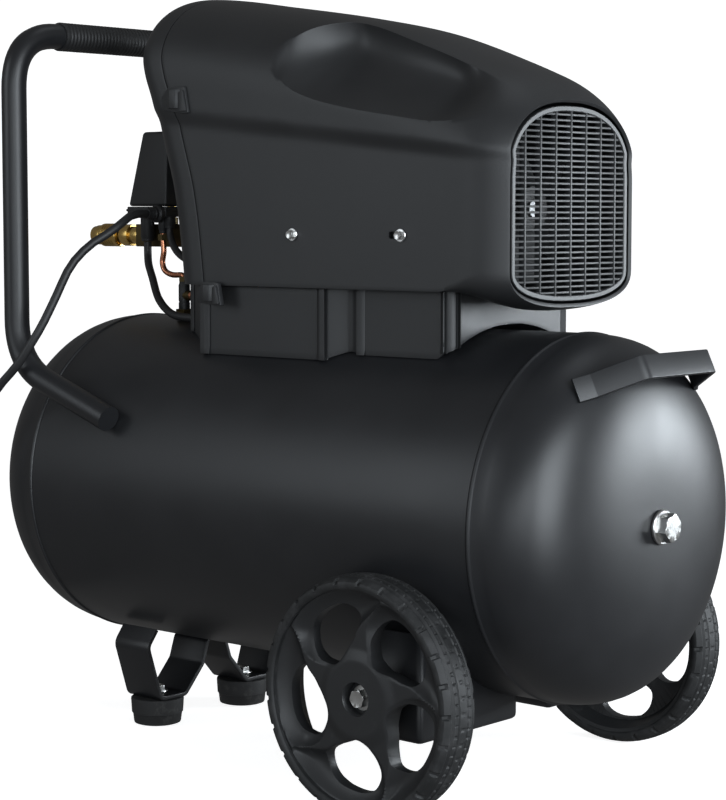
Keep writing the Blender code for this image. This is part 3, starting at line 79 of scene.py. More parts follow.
class Value:
    """A number, colour or vector inside a material, so that its shader maths reads as ordinary arithmetic."""

    def __init__(self, tree, socket):
        self.tree, self.socket = tree, socket

    def node(self, kind, inputs, out=0, **settings):
        """A node of a kind, set up and fed, as the value that comes out of it."""
        made = self.tree.nodes.new("ShaderNode" + kind)
        for name, setting in settings.items():
            setattr(made, name, setting)
        for name, given in inputs.items():
            if isinstance(given, Value):
                self.tree.links.new(given.socket, made.inputs[name])
            else:
                made.inputs[name].default_value = given
        return Value(self.tree, made.outputs[out])

    def math(self, operation, *terms):
        return self.node("Math", dict(enumerate(terms)), operation=operation)

    def __add__(self, other): return self.math("ADD", self, other)
    def __radd__(self, other): return self.math("ADD", other, self)
    def __mul__(self, other): return self.math("MULTIPLY", self, other)
    def __rmul__(self, other): return self.math("MULTIPLY", other, self)

    def step(self, low, high):
        """0 below low, 1 above high, and a smooth rise between."""
        return self.node("MapRange", {"Value": self, "From Min": low, "From Max": high},
                         interpolation_type="SMOOTHSTEP")

    def blend(self, first, second):
        """A colour that goes from first to second as this value goes from 0 to 1."""
        return self.node("Mix", {0: self, 6: (*first, 1), 7: (*second, 1)}, out=2, data_type="RGBA")


class Finish(Value):
    """A material with one Principled shader, and the patterns that most finishes here are made from."""

    def __init__(self, name, slot):
        self.material = bpy.data.materials.new(name)
        self.material.use_nodes = True
        self.slot = slot
        tree = self.material.node_tree
        self.shader = tree.nodes["Principled BSDF"]
        super().__init__(tree, None)
        self.here = self.node("TexCoord", {}, out=3)

    def noise(self, scale, detail=3.0, rough=0.5):
        """Cloudy noise, scale being its waves to the metre."""
        inputs = {"Vector": self.here, "Scale": scale, "Detail": detail, "Roughness": rough}
        return self.node("TexNoise", inputs)

    def cells(self, scale):
        """Softly rounded cells, scale being how many fit in a metre."""
        return self.node("TexVoronoi", {"Vector": self.here, "Scale": scale}, feature="SMOOTH_F1")

    def set(self, **given):
        """Sets or links the shader's inputs; an underscore in a name stands for a space."""
        for name, value in given.items():
            socket = self.shader.inputs[name.replace("_", " ")]
            if isinstance(value, Value):
                self.tree.links.new(value.socket, socket)
            else:
                socket.default_value = (*value, 1) if isinstance(value, tuple) and len(value) == 3 else value
        return self

    def bumped(self, height, depth, strength=1.0):
        """Raises the surface by a height that goes from 0 to 1, depth being its full size in metres."""
        made = self.node("Bump", {"Height": height, "Distance": depth, "Strength": strength})
        return self.set(Normal=made)


def stand(name, shape, finish, body="machine", stands_for=(), crease=35):
    """Puts a piece in place: its mesh shaded, with its finish, body and the solids that it shows."""
    if isinstance(shape, bmesh.types.BMesh):
        mesh = bpy.data.meshes.new(name)
        shape.to_mesh(mesh)
        shape.free()
        mesh.shade_smooth()
        mesh.set_sharp_from_angle(angle=math.radians(crease))
    else:
        mesh = shape
    piece = bpy.data.objects.new(name, mesh)
    bpy.context.collection.objects.link(piece)
    mesh.materials.append(finish.material)
    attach(piece, body)
    if stands_for:
        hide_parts(*stands_for)
    return piece


# Backdrop, camera and lamps

paper = Finish("studio_paper", "hood_plastic")
paper.set(Base_Color=(0.70, 0.70, 0.70), Roughness=0.9, Emission_Color=(1.0, 1.0, 1.0),
          Emission_Strength=0.85)
sweep = bmesh.new()
curve = [(-6.0, 0.0)] + [(2.2 + 1.5 * math.sin(a), 1.5 - 1.5 * math.cos(a)) for a in
                         (math.pi / 2 * step / 16 for step in range(17))] + [(3.7, 5.0)]
back = Vector((-0.66, 0.75, 0))
side = Vector((0.75, 0.66, 0))
rows = [[sweep.verts.new(back * far + side * wide + Vector((0, 0, high - 0.0004))) for wide in (-7, 7)]
        for far, high in curve]
for (a, b), (c, d) in zip(rows, rows[1:]):
    sweep.faces.new((a, b, d, c))
mesh = bpy.data.meshes.new("backdrop")
sweep.to_mesh(mesh)
sweep.free()
mesh.shade_smooth()
backdrop = bpy.data.objects.new("backdrop", mesh)
mesh.materials.append(paper.material)
bpy.context.collection.objects.link(backdrop)
backdrop.visible_diffuse = False
backdrop.visible_glossy = False

lens = bpy.data.cameras.new("camera")
lens.lens = 97.78
lens.sensor_width = 36
lens.clip_end = 50
camera = bpy.data.objects.new("camera", lens)
camera.location = at(1.5793, -1.4745, 0.4863)
camera.rotation_euler = (math.radians(85.15), 0, math.radians(41.40))
bpy.context.collection.objects.link(camera)
bpy.context.scene.camera = camera


def lamp(name, place, aim, wide, power, tall):
    """A soft rectangular lamp of a bluish white, turned to face a point."""
    light = bpy.data.lights.new(name, "AREA")
    light.shape = "RECTANGLE"
    light.size, light.size_y = wide, tall
    light.energy = power
    light.color = (0.87, 0.94, 1.0)
    thing = bpy.data.objects.new(name, light)
    thing.location = place
    thing.rotation_euler = (Vector(aim) - Vector(place)).to_track_quat("-Z", "Y").to_euler()
    bpy.context.collection.objects.link(thing)


lamp("overhead", (0.2, 0.7, 2.4), (0.0, 0.1, 0.5), 1.0, 2, 0.8)
lamp("key", (-1.3, -2.3, 1.1), (0.0, 0.0, 0.35), 1.1, 12, 1.5)
lamp("grille_side", (2.2, -0.6, 0.75), (0.25, 0.0, 0.3), 1.3, 46, 1.5)
lamp("far_side", (1.45, 1.65, 0.50), (0.15, -0.04, 0.40), 0.6, 32, 0.6)
lamp("camera_side", (1.9, -2.0, 0.85), (0.2, -0.1, 0.5), 0.9, 12, 1.1)
lamp("low_front", (1.0, -2.4, 0.5), (0.1, 0.0, 0.2), 1.4, 8, 0.9)
world = bpy.data.worlds.new("studio")
world.use_nodes = True
world.node_tree.nodes["Background"].inputs["Color"].default_value = (1, 1, 1, 1)
world.node_tree.nodes["Background"].inputs["Strength"].default_value = 0.15
bpy.context.scene.world = world
bpy.context.scene.view_settings.view_transform = "Standard"

# --------------------------------------------------------------------------------------------------------
# Mains cord: a round 8 mm rubber lead. It leaves a gland on the pressure switch, passes in front of the
# push handle's upright, drops to the floor and is wound there in a tied coil, its moulded plug lying
# against the coil.

CORD_RADIUS = 0.004
cord_line = [(0.0460, -0.0480, 0.4880), (0.0470, -0.0660, 0.4873), (0.0530, -0.0820, 0.4820),
             (0.0500, -0.0980, 0.4710), (0.0410, -0.1170, 0.4580), (0.0340, -0.1340, 0.4390),
             (0.0300, -0.1480, 0.4120), (0.0250, -0.1600, 0.3870), (0.0180, -0.1680, 0.3690),
             (0.0020, -0.1730, 0.3470), (-0.0200, -0.1770, 0.3260), (-0.0450, -0.1800, 0.2950),
             (-0.0650, -0.1830, 0.2450), (-0.0780, -0.1950, 0.1500), (-0.0870, -0.2060, 0.0800),
             (-0.0920, -0.2080, 0.0400), (-0.0945, -0.2000, 0.0170), (-0.0955, -0.1850, 0.0065),
             (-0.0960, -0.1650, 0.0045), ]
COIL = (-0.155, -0.160)


def smooth_line(route, spacing, loop=False):
    """Evenly spaced points on a curve through every point of a route."""
    points = [Vector(point) for point in route]
    if loop:
        ends = points[-1:] + points + points[:2]
    else:
        ends = [2 * points[0] - points[1]] + points + [2 * points[-1] - points[-2]]
    fine = []
    for a, b, c, d in zip(ends, ends[1:], ends[2:], ends[3:]):
        for step in range(16):
            t = step / 16
            fine.append(0.5 * (2 * b + (c - a) * t + (2 * a - 5 * b + 4 * c - d) * t ** 2
                               + (3 * b - a - 3 * c + d) * t ** 3))
    fine.append(points[0].copy() if loop else points[-1])
    lengths = [0.0]
    for first, second in zip(fine, fine[1:]):
        lengths.append(lengths[-1] + (second - first).length)
    count = max(2, round(lengths[-1] / spacing))
    result, index = [], 0
    for step in range(count + (0 if loop else 1)):
        wanted = lengths[-1] * step / count
        while index < len(fine) - 2 and lengths[index + 1] < wanted:
            index += 1
        share = (wanted - lengths[index]) / (lengths[index + 1] - lengths[index])
        result.append(fine[index].lerp(fine[index + 1], share))
    return result


def ramped(value, table):
    """A value read from a table of (place, value) pairs, with a smooth rise between them."""
    for (start, first), (end, second) in zip(table, table[1:]):
        if value <= end:
            share = min(1.0, max(0.0, (value - start) / (end - start)))
            share = share * share * (3 - 2 * share)
            return first + (second - first) * share
    return table[-1][1]


turns = 3.72
wide = [(0, 0.0590), (0.22, 0.0505), (0.92, 0.0505), (1.08, 0.0421), (2.9, 0.0421), (3.1, 0.0505),
        (4.0, 0.0505)]
high = [(0, 0.0045), (1.85, 0.0045), (2.05, 0.0129), (4.0, 0.0129)]
coil_line = []
for step in range(1, int(turns * 18)):
    turn = step / 18
    angle = math.tau * turn
    coil_line.append((COIL[0] + ramped(turn, wide) * math.cos(angle),
                      COIL[1] + ramped(turn, wide) * math.sin(angle), ramped(turn, high)))
plug_at = at(-0.2340, -0.1560, 0.0178)
tail_line = [(-0.2330, -0.1400, 0.0172), (-0.2340, -0.1560, 0.0178)]
cord_points = smooth_line([at(*p) for p in cord_line + coil_line + tail_line], 0.0125)


def length_of(points):
    """The length of a line of points."""
    return sum((b - a).length for a, b in zip(points, points[1:]))


def cable(name, points, radius, finish, body="machine", stands_for=(), cap=True):
    """A round cable or bar: a curve with a round bevel along a line of points."""
    curve = bpy.data.curves.new(name, "CURVE")
    curve.dimensions = "3D"
    spline = curve.splines.new("POLY")
    spline.points.add(len(points) - 1)
    for spot, point in zip(spline.points, points):
        spot.co = (*point, 1)
    spline.use_smooth = True
    curve.bevel_depth = radius
    curve.bevel_resolution = 5
    curve.use_fill_caps = cap
    return stand(name, curve, finish, body, stands_for)


cord_rubber = Finish("cord_rubber", "rubber")
grain = cord_rubber.noise(900, 2)
cord_rubber.set(Base_Color=cord_rubber.noise(14).step(0.35, 0.7).blend((0.012, 0.012, 0.013),
                                                                       (0.020, 0.020, 0.021)),
                Roughness=0.42 + grain * 0.16).bumped(grain, 0.0001, 0.4)
mains_cord = cable("mains_cord_lead", cord_points, CORD_RADIUS, cord_rubber,
                   stands_for=("mains_cord", "cord_coil"))


def aligned(start, toward):
    """The matrix that stands +Z along a line, at its start."""
    start, toward = Vector(start), Vector(toward)
    return Matrix.Translation(start) @ (toward - start).to_track_quat("Z", "Y").to_matrix().to_4x4()


def filleted(corners, steps=4, closed=False):
    """A line of (x, y) or (x, y, radius) corners, with those that have a radius rounded."""
    result = []
    for index, corner in enumerate(corners):
        here = Vector(corner[:2])
        if len(corner) < 3 or not closed and index in (0, len(corners) - 1):
            result.append(tuple(here))
            continue
        before = Vector(corners[index - 1][:2]) - here
        after = Vector(corners[(index + 1) % len(corners)][:2]) - here
        turn = math.pi - before.angle(after)
        reach = min(corner[2] * math.tan(turn / 2), before.length / 2, after.length / 2)
        first, last = here + before.normalized() * reach, here + after.normalized() * reach
        for step in range(steps + 1):
            t = step / steps
            result.append(tuple(first * (1 - t) ** 2 + here * 2 * t * (1 - t) + last * t * t))
    return result


def spun(profile, start, toward, steps=64, ring=False):
    """A line of (radius, height) pairs turned round the axis that runs from start."""
    shape = bmesh.new()
    line = [shape.verts.new((radius, 0, height)) for radius, height in profile]
    for pair in zip(line, line[1:] + (line[:1] if ring else [])):
        shape.edges.new(pair)
    bmesh.ops.spin(shape, geom=shape.verts[:] + shape.edges[:], cent=(0, 0, 0), axis=(0, 0, 1),
                   angle=math.tau, steps=steps, use_merge=True)
    bmesh.ops.remove_doubles(shape, verts=shape.verts, dist=0.000002)
    bmesh.ops.recalc_face_normals(shape, faces=shape.faces)
    bmesh.ops.transform(shape, matrix=aligned(start, toward), verts=shape.verts)
    return shape


def merged(*shapes):
    """Several shapes as one."""
    whole = shapes[0]
    for other in shapes[1:]:
        mesh = bpy.data.meshes.new("part")
        other.to_mesh(mesh)
        other.free()
        whole.from_mesh(mesh)
        bpy.data.meshes.remove(mesh)
    return whole


def walled(shape, rings, closed=False):
    """Faces from each ring of points to the next, and from the last to the first when closed."""
    for first, second in zip(rings, rings[1:] + (rings[:1] if closed else [])):
        for a, b, c, d in zip(first, first[1:] + first[:1], second[1:] + second[:1], second):
            shape.faces.new((a, b, c, d))


def slab(outline, low, high, matrix, edge=0.0, steps=2):
    """A flat outline of (x, y) points raised from low to high, its sharp edges rounded."""
    shape = bmesh.new()
    bottom = [shape.verts.new((x, y, low)) for x, y in outline]
    top = [shape.verts.new((x, y, high)) for x, y in outline]
    walled(shape, [bottom, top])
    shape.faces.new(bottom[::-1])
    shape.faces.new(top)
    bmesh.ops.recalc_face_normals(shape, faces=shape.faces)
    if edge:
        sharp = [e for e in shape.edges if e.calc_face_angle(0) > 0.6]
        bmesh.ops.bevel(shape, geom=sharp, offset=edge, segments=steps, profile=0.5, affect="EDGES",
                        clamp_overlap=True)
    bmesh.ops.transform(shape, matrix=matrix, verts=shape.verts)
    return shape


plug_black = Finish("plug_black", "black_plastic")
grain = plug_black.noise(1500, 2)
plug_black.set(Base_Color=(0.016, 0.016, 0.017), Roughness=0.46 + grain * 0.12).bumped(grain, 0.00006, 0.5)
down = plug_at + Vector((0, -1, 0))
plug_line = [(0.0, 0.0), (0.0048, 0.0), (0.0056, 0.0015), (0.0056, 0.003), (0.0050, 0.0038), (0.0062, 0.0048),
             (0.0062, 0.0066), (0.0055, 0.0074), (0.0072, 0.0086), (0.0072, 0.0106), (0.0064, 0.0114),
             (0.0098, 0.0150), (0.0130, 0.0190), (0.0146, 0.0230), (0.0150, 0.0280), (0.0164, 0.0320),
             (0.0175, 0.0340), (0.0175, 0.0405), (0.0168, 0.0418), (0.0, 0.0418)]
plug = stand("plug_body", spun(plug_line, plug_at, down), plug_black, stands_for=("mains_plug",))
pin_steel = Finish("pin_nickel", "steel")
pin_steel.set(Base_Color=(0.62, 0.61, 0.59), Metallic=1.0, Roughness=0.22 + pin_steel.noise(700, 3) * 0.15)
pins = []
for offset in (-0.0095, 0.0095):
    foot = plug_at + Vector((offset, -0.0410, 0))
    pins.append(spun([(0.0, 0.0), (0.0024, 0.0), (0.0024, 0.0175), (0.0018, 0.0196), (0.0, 0.0200)], foot,
                     foot + Vector((0, -1, 0)), 24))
plug_pins = stand("plug_pins", merged(*pins), pin_steel)

tie_band = Finish("tie_band", "rubber")
tie_band.set(Base_Color=(0.030, 0.030, 0.032), Roughness=0.55 + tie_band.noise(400) * 0.2)
tie = filleted([(0.0365, 0.0004, 0.004), (0.0565, 0.0004, 0.004), (0.0565, 0.0182, 0.006),
                (0.0365, 0.0182, 0.006)], 5, closed=True)
turn = Matrix.Translation(at(*COIL, 0)) @ Matrix.Rotation(math.radians(-62), 4, "Z")
band = bmesh.new()
outer = [[band.verts.new(turn @ Vector((x, y, z))) for x, z in tie] for y in (-0.006, 0.006)]
inner = [[band.verts.new(turn @ Vector((0.0465 + (x - 0.0465) * 0.93, y, 0.0093 + (z - 0.0093) * 0.93)))
          for x, z in tie] for y in (-0.006, 0.006)]
walled(band, [outer[0], outer[1], inner[1], inner[0]], closed=True)
bmesh.ops.recalc_face_normals(band, faces=band.faces)
cord_tie = stand("cord_tie", band, tie_band)

gland_start = at(0.0460, -0.0312, 0.4880)
gland_line = [(0.0, 0.0), (0.0082, 0.0), (0.0085, 0.0006), (0.0085, 0.0046), (0.0075, 0.0056),
              (0.0068, 0.0064), (0.0066, 0.0090), (0.0060, 0.0096), (0.0064, 0.0106), (0.0058, 0.0118),
              (0.0062, 0.0128), (0.0055, 0.0140), (0.0053, 0.0155), (0.0049, 0.0166), (0.0041, 0.0168),
              (0.0, 0.0168)]
stand("cord_gland_sleeve", spun(gland_line, gland_start, gland_start + Vector((0, -1, 0)), 48), plug_black,
      stands_for=("cord_gland",))
length_of(cord_points)

# --------------------------------------------------------------------------------------------------------
# Tank: a rolled steel shell with two pressed heads, welded round and powder coated black all over.
# A zinc-plated hexagon plug closes the inspection hole in the middle of the grille-end head.

TANK_RADIUS = 0.155
TANK_LENGTH = 0.523
TANK_Z = 0.234


def head_rise(radius):
    """How far the head's skin stands beyond its seam at a radius."""
    return 0.0888 * max(0.0, 1 - (radius / TANK_RADIUS) ** 3.32) ** (1 / 3.32) - 0.0098


tank_paint = Finish("tank_powder_coat", "tank_paint")
peel = tank_paint.cells(1500) * 0.6 + tank_paint.noise(2600, 2) * 0.4
cloud = tank_paint.noise(7, 4, 0.6).step(0.3, 0.75)
rub = tank_paint.noise(60, 6, 0.7).step(0.66, 0.80)
tank_paint.set(Base_Color=(cloud * 0.5 + rub * 0.3).blend((0.0115, 0.0120, 0.0135), (0.0190, 0.0195, 0.0215)),
               Roughness=0.34 + cloud * 0.07 + rub * 0.10 + peel * 0.05, Specular_IOR_Level=0.5)
tank_paint.bumped(peel, 0.00010, 0.45)

shell_line = [(0.1525, 0.0), (TANK_RADIUS, 0.0004), (TANK_RADIUS, 0.010), (TANK_RADIUS, TANK_LENGTH - 0.010),
              (TANK_RADIUS, TANK_LENGTH - 0.0004), (0.1525, TANK_LENGTH)]
start = at(0, 0, TANK_Z)
stand("tank_barrel", spun(shell_line, start, start + Vector((1, 0, 0)), 160), tank_paint,
      stands_for=("tank_shell",))
for name, seam, way in (("rear", 0.0, -1), ("front", TANK_LENGTH, 1)):
    radii = [0.0] + [TANK_RADIUS * math.sin(math.pi / 2 * k / 26) for k in range(1, 25)] + [0.1542]
    head_line = [(radius, head_rise(radius)) for radius in radii]
    bead = [(0.1549, 0.0046), (0.1553, 0.0038), (0.1561, 0.0030), (0.1563, 0.0018), (0.1559, 0.0007),
            (0.1549, 0.0002)]
    start = at(seam, 0, TANK_Z)
    stand(f"tank_end_{name}", spun(head_line + bead + [(0.1525, 0.0)], start, start + Vector((way, 0, 0)),
                                   160), tank_paint, stands_for=(f"tank_head_{name}",), crease=60)

zinc = Finish("bright_zinc", "zinc")
brushed = zinc.noise(260, 4, 0.6)
zinc.set(Base_Color=zinc.noise(120).step(0.3, 0.7).blend((0.60, 0.60, 0.585), (0.74, 0.74, 0.73)),
         Metallic=1.0, Roughness=0.20 + brushed * 0.22).bumped(brushed, 0.00004, 0.5)


def hex_head(radius, height, start, toward, turn=0.0, dome=0.0):
    """A hexagon head with its outer corners turned down and a shallow round face."""
    shape = bmesh.new()
    levels = [(1.0, 0.0), (1.0, height - 0.10 * radius), (0.955, height - 0.03 * radius), (0.86, height),
              (0.5, height + dome)]
    rings = []
    for share, rise in levels:
        ring = []
        for k in range(48):
            angle = math.tau * k / 48 + turn
            flat = math.cos(math.pi / 6) / math.cos((angle - turn) % (math.pi / 3) - math.pi / 6)
            reach = radius * min(flat, share if share < 1 else 1)
            ring.append(shape.verts.new((reach * math.cos(angle), reach * math.sin(angle), rise)))
        rings.append(ring)
    walled(shape, rings)
    shape.faces.new(rings[0][::-1])
    shape.faces.new(rings[-1])
    bmesh.ops.recalc_face_normals(shape, faces=shape.faces)
    bmesh.ops.transform(shape, matrix=aligned(start, toward), verts=shape.verts)
    return shape


face = at(TANK_LENGTH + head_rise(0.0) + 0.0003, 0, TANK_Z)
toward = face + Vector((1, 0, 0))
flange = spun([(0.0, 0.0), (0.0138, 0.0), (0.0145, 0.0008), (0.0145, 0.0026), (0.0136, 0.0035),
               (0.0, 0.0036)], face, toward, 64)
stand("inspection_plug_hex", merged(flange, hex_head(0.0122, 0.0092, face + Vector((0.0033, 0, 0)),
                                                      toward + Vector((1, 0, 0)), 0.25)), zinc,
      stands_for=("inspection_plug",))

# --------------------------------------------------------------------------------------------------------
# Undercarriage: a flat bar bent like a W holds two rubber feet at the handle end, each on a zinc screw.
# Two folded sheet brackets under the grille end hold the wheel bolts. Bar and brackets have the tank's
# powder coat.


def flat_bar(outline, width, thickness, matrix, edge=0.0007):
    """A bent flat bar with softened edges along a line of (u, v) points, widened along the matrix's Z."""
    line = [Vector(point) for point in outline]
    half, wide = thickness / 2, width / 2
    section = filleted([(-half, -wide, edge), (half, -wide, edge), (half, wide, edge), (-half, wide, edge)],
                       3, True)
    shape = bmesh.new()
    rows = []
    for index, point in enumerate(line):
        before = (point - line[index - 1]).normalized() if index else None
        after = (line[index + 1] - point).normalized() if index + 1 < len(line) else None
        along = ((before or after) + (after or before)).normalized()
        normal = Vector((-along.y, along.x)) / max(0.5, along.dot(after or before))
        rows.append([shape.verts.new((*(point + normal * off), across)) for off, across in section])
    walled(shape, rows)
    shape.faces.new(rows[0])
    shape.faces.new(rows[-1][::-1])
    bmesh.ops.recalc_face_normals(shape, faces=shape.faces)
    bmesh.ops.transform(shape, matrix=matrix, verts=shape.verts)
    return shape


FOOT_X = 0.0664
FOOT_Y = 0.058
FOOT_HEIGHT = 0.0255
low, high = FOOT_HEIGHT + 0.0023, TANK_Z - TANK_RADIUS - 0.0023
half_bar = [(0.0, high), (0.0110, high, 0.006), (0.0185, 0.054, 0.010), (FOOT_Y - 0.016, low, 0.007),
            (FOOT_Y + 0.016, low, 0.007), (0.0905, 0.080, 0.010), (0.079, 0.095)]
bar_line = filleted([(-y, z, *bend) for y, z, *bend in reversed(half_bar[1:])] + half_bar[1:], 6)
across = Matrix(((0, 0, 1, SEAM_X + FOOT_X), (1, 0, 0, 0), (0, 1, 0, 0), (0, 0, 0, 1)))
stand("foot_bar", flat_bar(bar_line, 0.046, 0.004, across), tank_paint, stands_for=("foot_bracket",))

foot_rubber = Finish("foot_rubber", "rubber")
dust = foot_rubber.noise(90, 5, 0.7)
foot_rubber.set(Base_Color=dust.step(0.5, 0.75).blend((0.014, 0.014, 0.0145), (0.050, 0.049, 0.047)),
                Roughness=0.55 + dust * 0.2).bumped(foot_rubber.noise(900, 3), 0.0002, 0.4)
foot_line = [(0.0, 0.0002), (0.0205, 0.0002), (0.0222, 0.0008), (0.0226, 0.0020), (0.0236, 0.0100),
             (0.0238, 0.0104), (0.0246, 0.0108), (0.0254, 0.0235), (0.0252, 0.0248), (0.0244, 0.0254),
             (0.0060, 0.0254), (0.0050, 0.0244), (0.0, 0.0244)]
for name, side in (("near", NEAR), ("far", FAR)):
    base = at(FOOT_X, side * FOOT_Y, 0)
    stand(f"foot_{name}", spun(foot_line, base, base + Vector((0, 0, 1)), 72), foot_rubber,
          stands_for=(f"rubber_foot_{name}",))
    seat = at(FOOT_X, side * FOOT_Y, FOOT_HEIGHT + 0.0046)
    washer = spun([(0.0, 0.0), (0.0098, 0.0), (0.0102, 0.0004), (0.0100, 0.0012), (0.0, 0.0014)], seat,
                  seat + Vector((0, 0, 1)), 40)
    head = hex_head(0.0074, 0.0050, seat + Vector((0, 0, 0.0010)), seat + Vector((0, 0, 1)), 0.4)
    stand(f"foot_screw_head_{name}", merged(washer, head), zinc, stands_for=(f"foot_screw_{name}",))

WHEEL_X = 0.441
WHEEL_RADIUS = 0.100
for name, side in (("near", NEAR), ("far", FAR)):
    box = bmesh.new()
    bmesh.ops.create_cube(box, size=1.0, matrix=Matrix.Translation(at(WHEEL_X, side * 0.087, 0.105))
                          @ Matrix.Diagonal((0.068, 0.130, 0.090, 1.0)))
    top = [face for face in box.faces if face.normal.z > 0.5]
    folds = [edge for edge in box.edges if not any(face in top for face in edge.link_faces)]
    bmesh.ops.bevel(box, geom=folds, offset=0.005, segments=4, profile=0.5, affect="EDGES")
    bmesh.ops.delete(box, geom=[face for face in box.faces if face.normal.z > 0.9
                                and face.calc_area() > 0.003], context="FACES")
    folded = stand(f"wheel_plate_{name}", box, tank_paint, stands_for=(f"wheel_bracket_{name}",))
    sheet = folded.modifiers.new("sheet", "SOLIDIFY")
    sheet.thickness = 0.004
    sheet.offset = -1

# --------------------------------------------------------------------------------------------------------
# Wheels: a moulded black disc with five swept spokes round a flat hub. Each window lies in a pocket that
# slopes down to it from a dished rim, and the zinc bolt's head sits in a round recess.

HUB_RECESS = 0.0140
DISC_RADIUS = 0.0905
FACE_Y = 0.1930
window = [(62, 17.5), (50, 22.5), (42, 32), (35, 45), (33.3, 56), (36, 65), (42.5, 72), (50.5, 75.5),
          (60.5, 74), (68, 70), (75, 63.5), (78, 54), (78, 42), (77, 33), (72, 24)]
pocket = [(56, 18), (64, 12), (74, 5), (84, 0), (88, 2), (89, 14), (89, 30), (89, 45), (88.5, 56), (87, 66),
          (83, 73), (73, 77.5), (61, 81), (50, 80), (42, 76), (34, 68), (31.5, 57), (33, 44), (40, 31),
          (48, 22)]


def polar(pairs, turn=0.0):
    """Points from (millimetres, degrees) pairs, turned by an angle in radians."""
    return [Vector((r / 1000 * math.cos(math.radians(a) + turn), r / 1000 * math.sin(math.radians(a) + turn)))
            for r, a in pairs]


def rounded_loop(points, spacing):
    """A closed smooth line through flat points."""
    return [Vector((p.x, p.y)) for p in smooth_line([(p.x, p.y, 0) for p in points], spacing, loop=True)]


def inside(point, loop):
    """Whether a flat point lies inside a closed loop."""
    found = False
    for a, b in zip(loop, loop[1:] + loop[:1]):
        if (a.y > point.y) != (b.y > point.y) and point.x < (b.x - a.x) * (point.y - a.y) / (b.y - a.y) + a.x:
            found = not found
    return found


def depth_in(point, loop):
    """How far a point lies inside a loop; 0 outside it."""
    if not inside(point, loop):
        return 0.0
    best = 1.0
    for a, b in zip(loop, loop[1:] + loop[:1]):
        along = b - a
        share = min(1.0, max(0.0, (point - a).dot(along) / along.length_squared))
        best = min(best, (point - a - along * share).length)
    return best


def eased(share):
    """A share held between 0 and 1, with a slow start and end."""
    share = min(1.0, max(0.0, share))
    return share * share * (3 - 2 * share)


pocket_loop = rounded_loop(polar(pocket), 0.0025)
DISC_SIDES = 300
rings = [HUB_RECESS + (DISC_RADIUS - HUB_RECESS) * k / 64 for k in range(65)]
sinks = []
for radius in rings:
    row = []
    for k in range(DISC_SIDES // 5):
        angle = math.tau * k / DISC_SIDES
        deep = 0.0
        for turn in (0, 1, -1, 2):
            spot = Vector((radius * math.cos(angle + math.tau / 5 * turn),
                           radius * math.sin(angle + math.tau / 5 * turn)))
            deep = max(deep, depth_in(spot, pocket_loop))
        dish = 0.0028 * eased((radius - 0.030) / 0.012) * (1 - eased((radius - 0.072) / 0.014))
        rim_fall = 0.0016 * eased((radius - 0.0865) / 0.004)
        fall = 0.0020 + 0.0050 * eased((radius - 0.036) / 0.034)
        row.append(dish + rim_fall + fall * (1 - (1 - min(1.0, deep / 0.0125)) ** 2.2) * eased(deep / 0.0012))
    sinks.append(row)


def disc_shape():
    """The wheel's outer face as a height field in rings, closed by a plain back, with its windows cut out."""
    shape = bmesh.new()
    grid = []
    for radius, row in zip(rings, sinks):
        grid.append([shape.verts.new((radius * math.cos(math.tau * k / DISC_SIDES),
                                      radius * math.sin(math.tau * k / DISC_SIDES),
                                      -row[k % (DISC_SIDES // 5)])) for k in range(DISC_SIDES)])
    profile = [(DISC_RADIUS, -0.0335), (0.0860, -0.0320), (0.0800, -0.0190), (0.0600, -0.0170),
               (0.0360, -0.0170), (0.0260, -0.0240), (0.0210, -0.0350), (0.0063, -0.0350),
               (0.0063, -0.0100), (HUB_RECESS - 0.0006, -0.0100)]
    for radius, low in profile + [(HUB_RECESS - 0.0006, -0.0008)]:
        grid.append([shape.verts.new((radius * math.cos(math.tau * k / DISC_SIDES),
                                      radius * math.sin(math.tau * k / DISC_SIDES), low))
                     for k in range(DISC_SIDES)])
    walled(shape, grid, closed=True)
    bmesh.ops.recalc_face_normals(shape, faces=shape.faces)
    return shape


def facing(side):
    """The frame of a wheel: Z out along its axle, and X and Y turning the same way on both sides."""
    return Matrix(((-side, 0, 0, SEAM_X + WHEEL_X), (0, 0, side, side * FACE_Y), (0, 1, 0, WHEEL_RADIUS),
                   (0, 0, 0, 1)))


wheel_plastic = Finish("wheel_plastic", "black_plastic")
grain = wheel_plastic.noise(1300, 3)
scuff = wheel_plastic.noise(70, 6, 0.7).step(0.58, 0.80)
wheel_plastic.set(Base_Color=scuff.blend((0.016, 0.0165, 0.0175), (0.036, 0.037, 0.039)),
                  Roughness=0.40 + grain * 0.10 + scuff * 0.12).bumped(grain, 0.00010, 0.5)


def window_cutter():
    """Five upright prisms, one through each window of a wheel."""
    loops = [rounded_loop(polar(window, math.tau * turn / 5), 0.0022) for turn in range(5)]
    return merged(*(slab(loop, -0.06, 0.02, Matrix.Identity(4)) for loop in loops))


def worked(shape, *steps):
    """A shape after modifiers, each given as its kind and settings; a shape among these is a cutter."""
    things = []

    def held(part):
        mesh = bpy.data.meshes.new("held")
        part.to_mesh(mesh)
        part.free()
        things.append(bpy.data.objects.new("held", mesh))
        bpy.context.collection.objects.link(things[-1])
        return things[-1]

    body = held(shape)
    for kind, settings in steps:
        made = body.modifiers.new(kind, kind)
        for key, value in settings.items():
            setattr(made, key, held(value) if isinstance(value, bmesh.types.BMesh) else value)
    result = bmesh.new()
    result.from_mesh(body.evaluated_get(bpy.context.evaluated_depsgraph_get()).to_mesh())
    for thing in things:
        bpy.data.objects.remove(thing)
    return result


def less(cutter):
    """The step of worked() that cuts a shape away."""
    return "BOOLEAN", {"operation": "DIFFERENCE", "solver": "EXACT", "object": cutter}


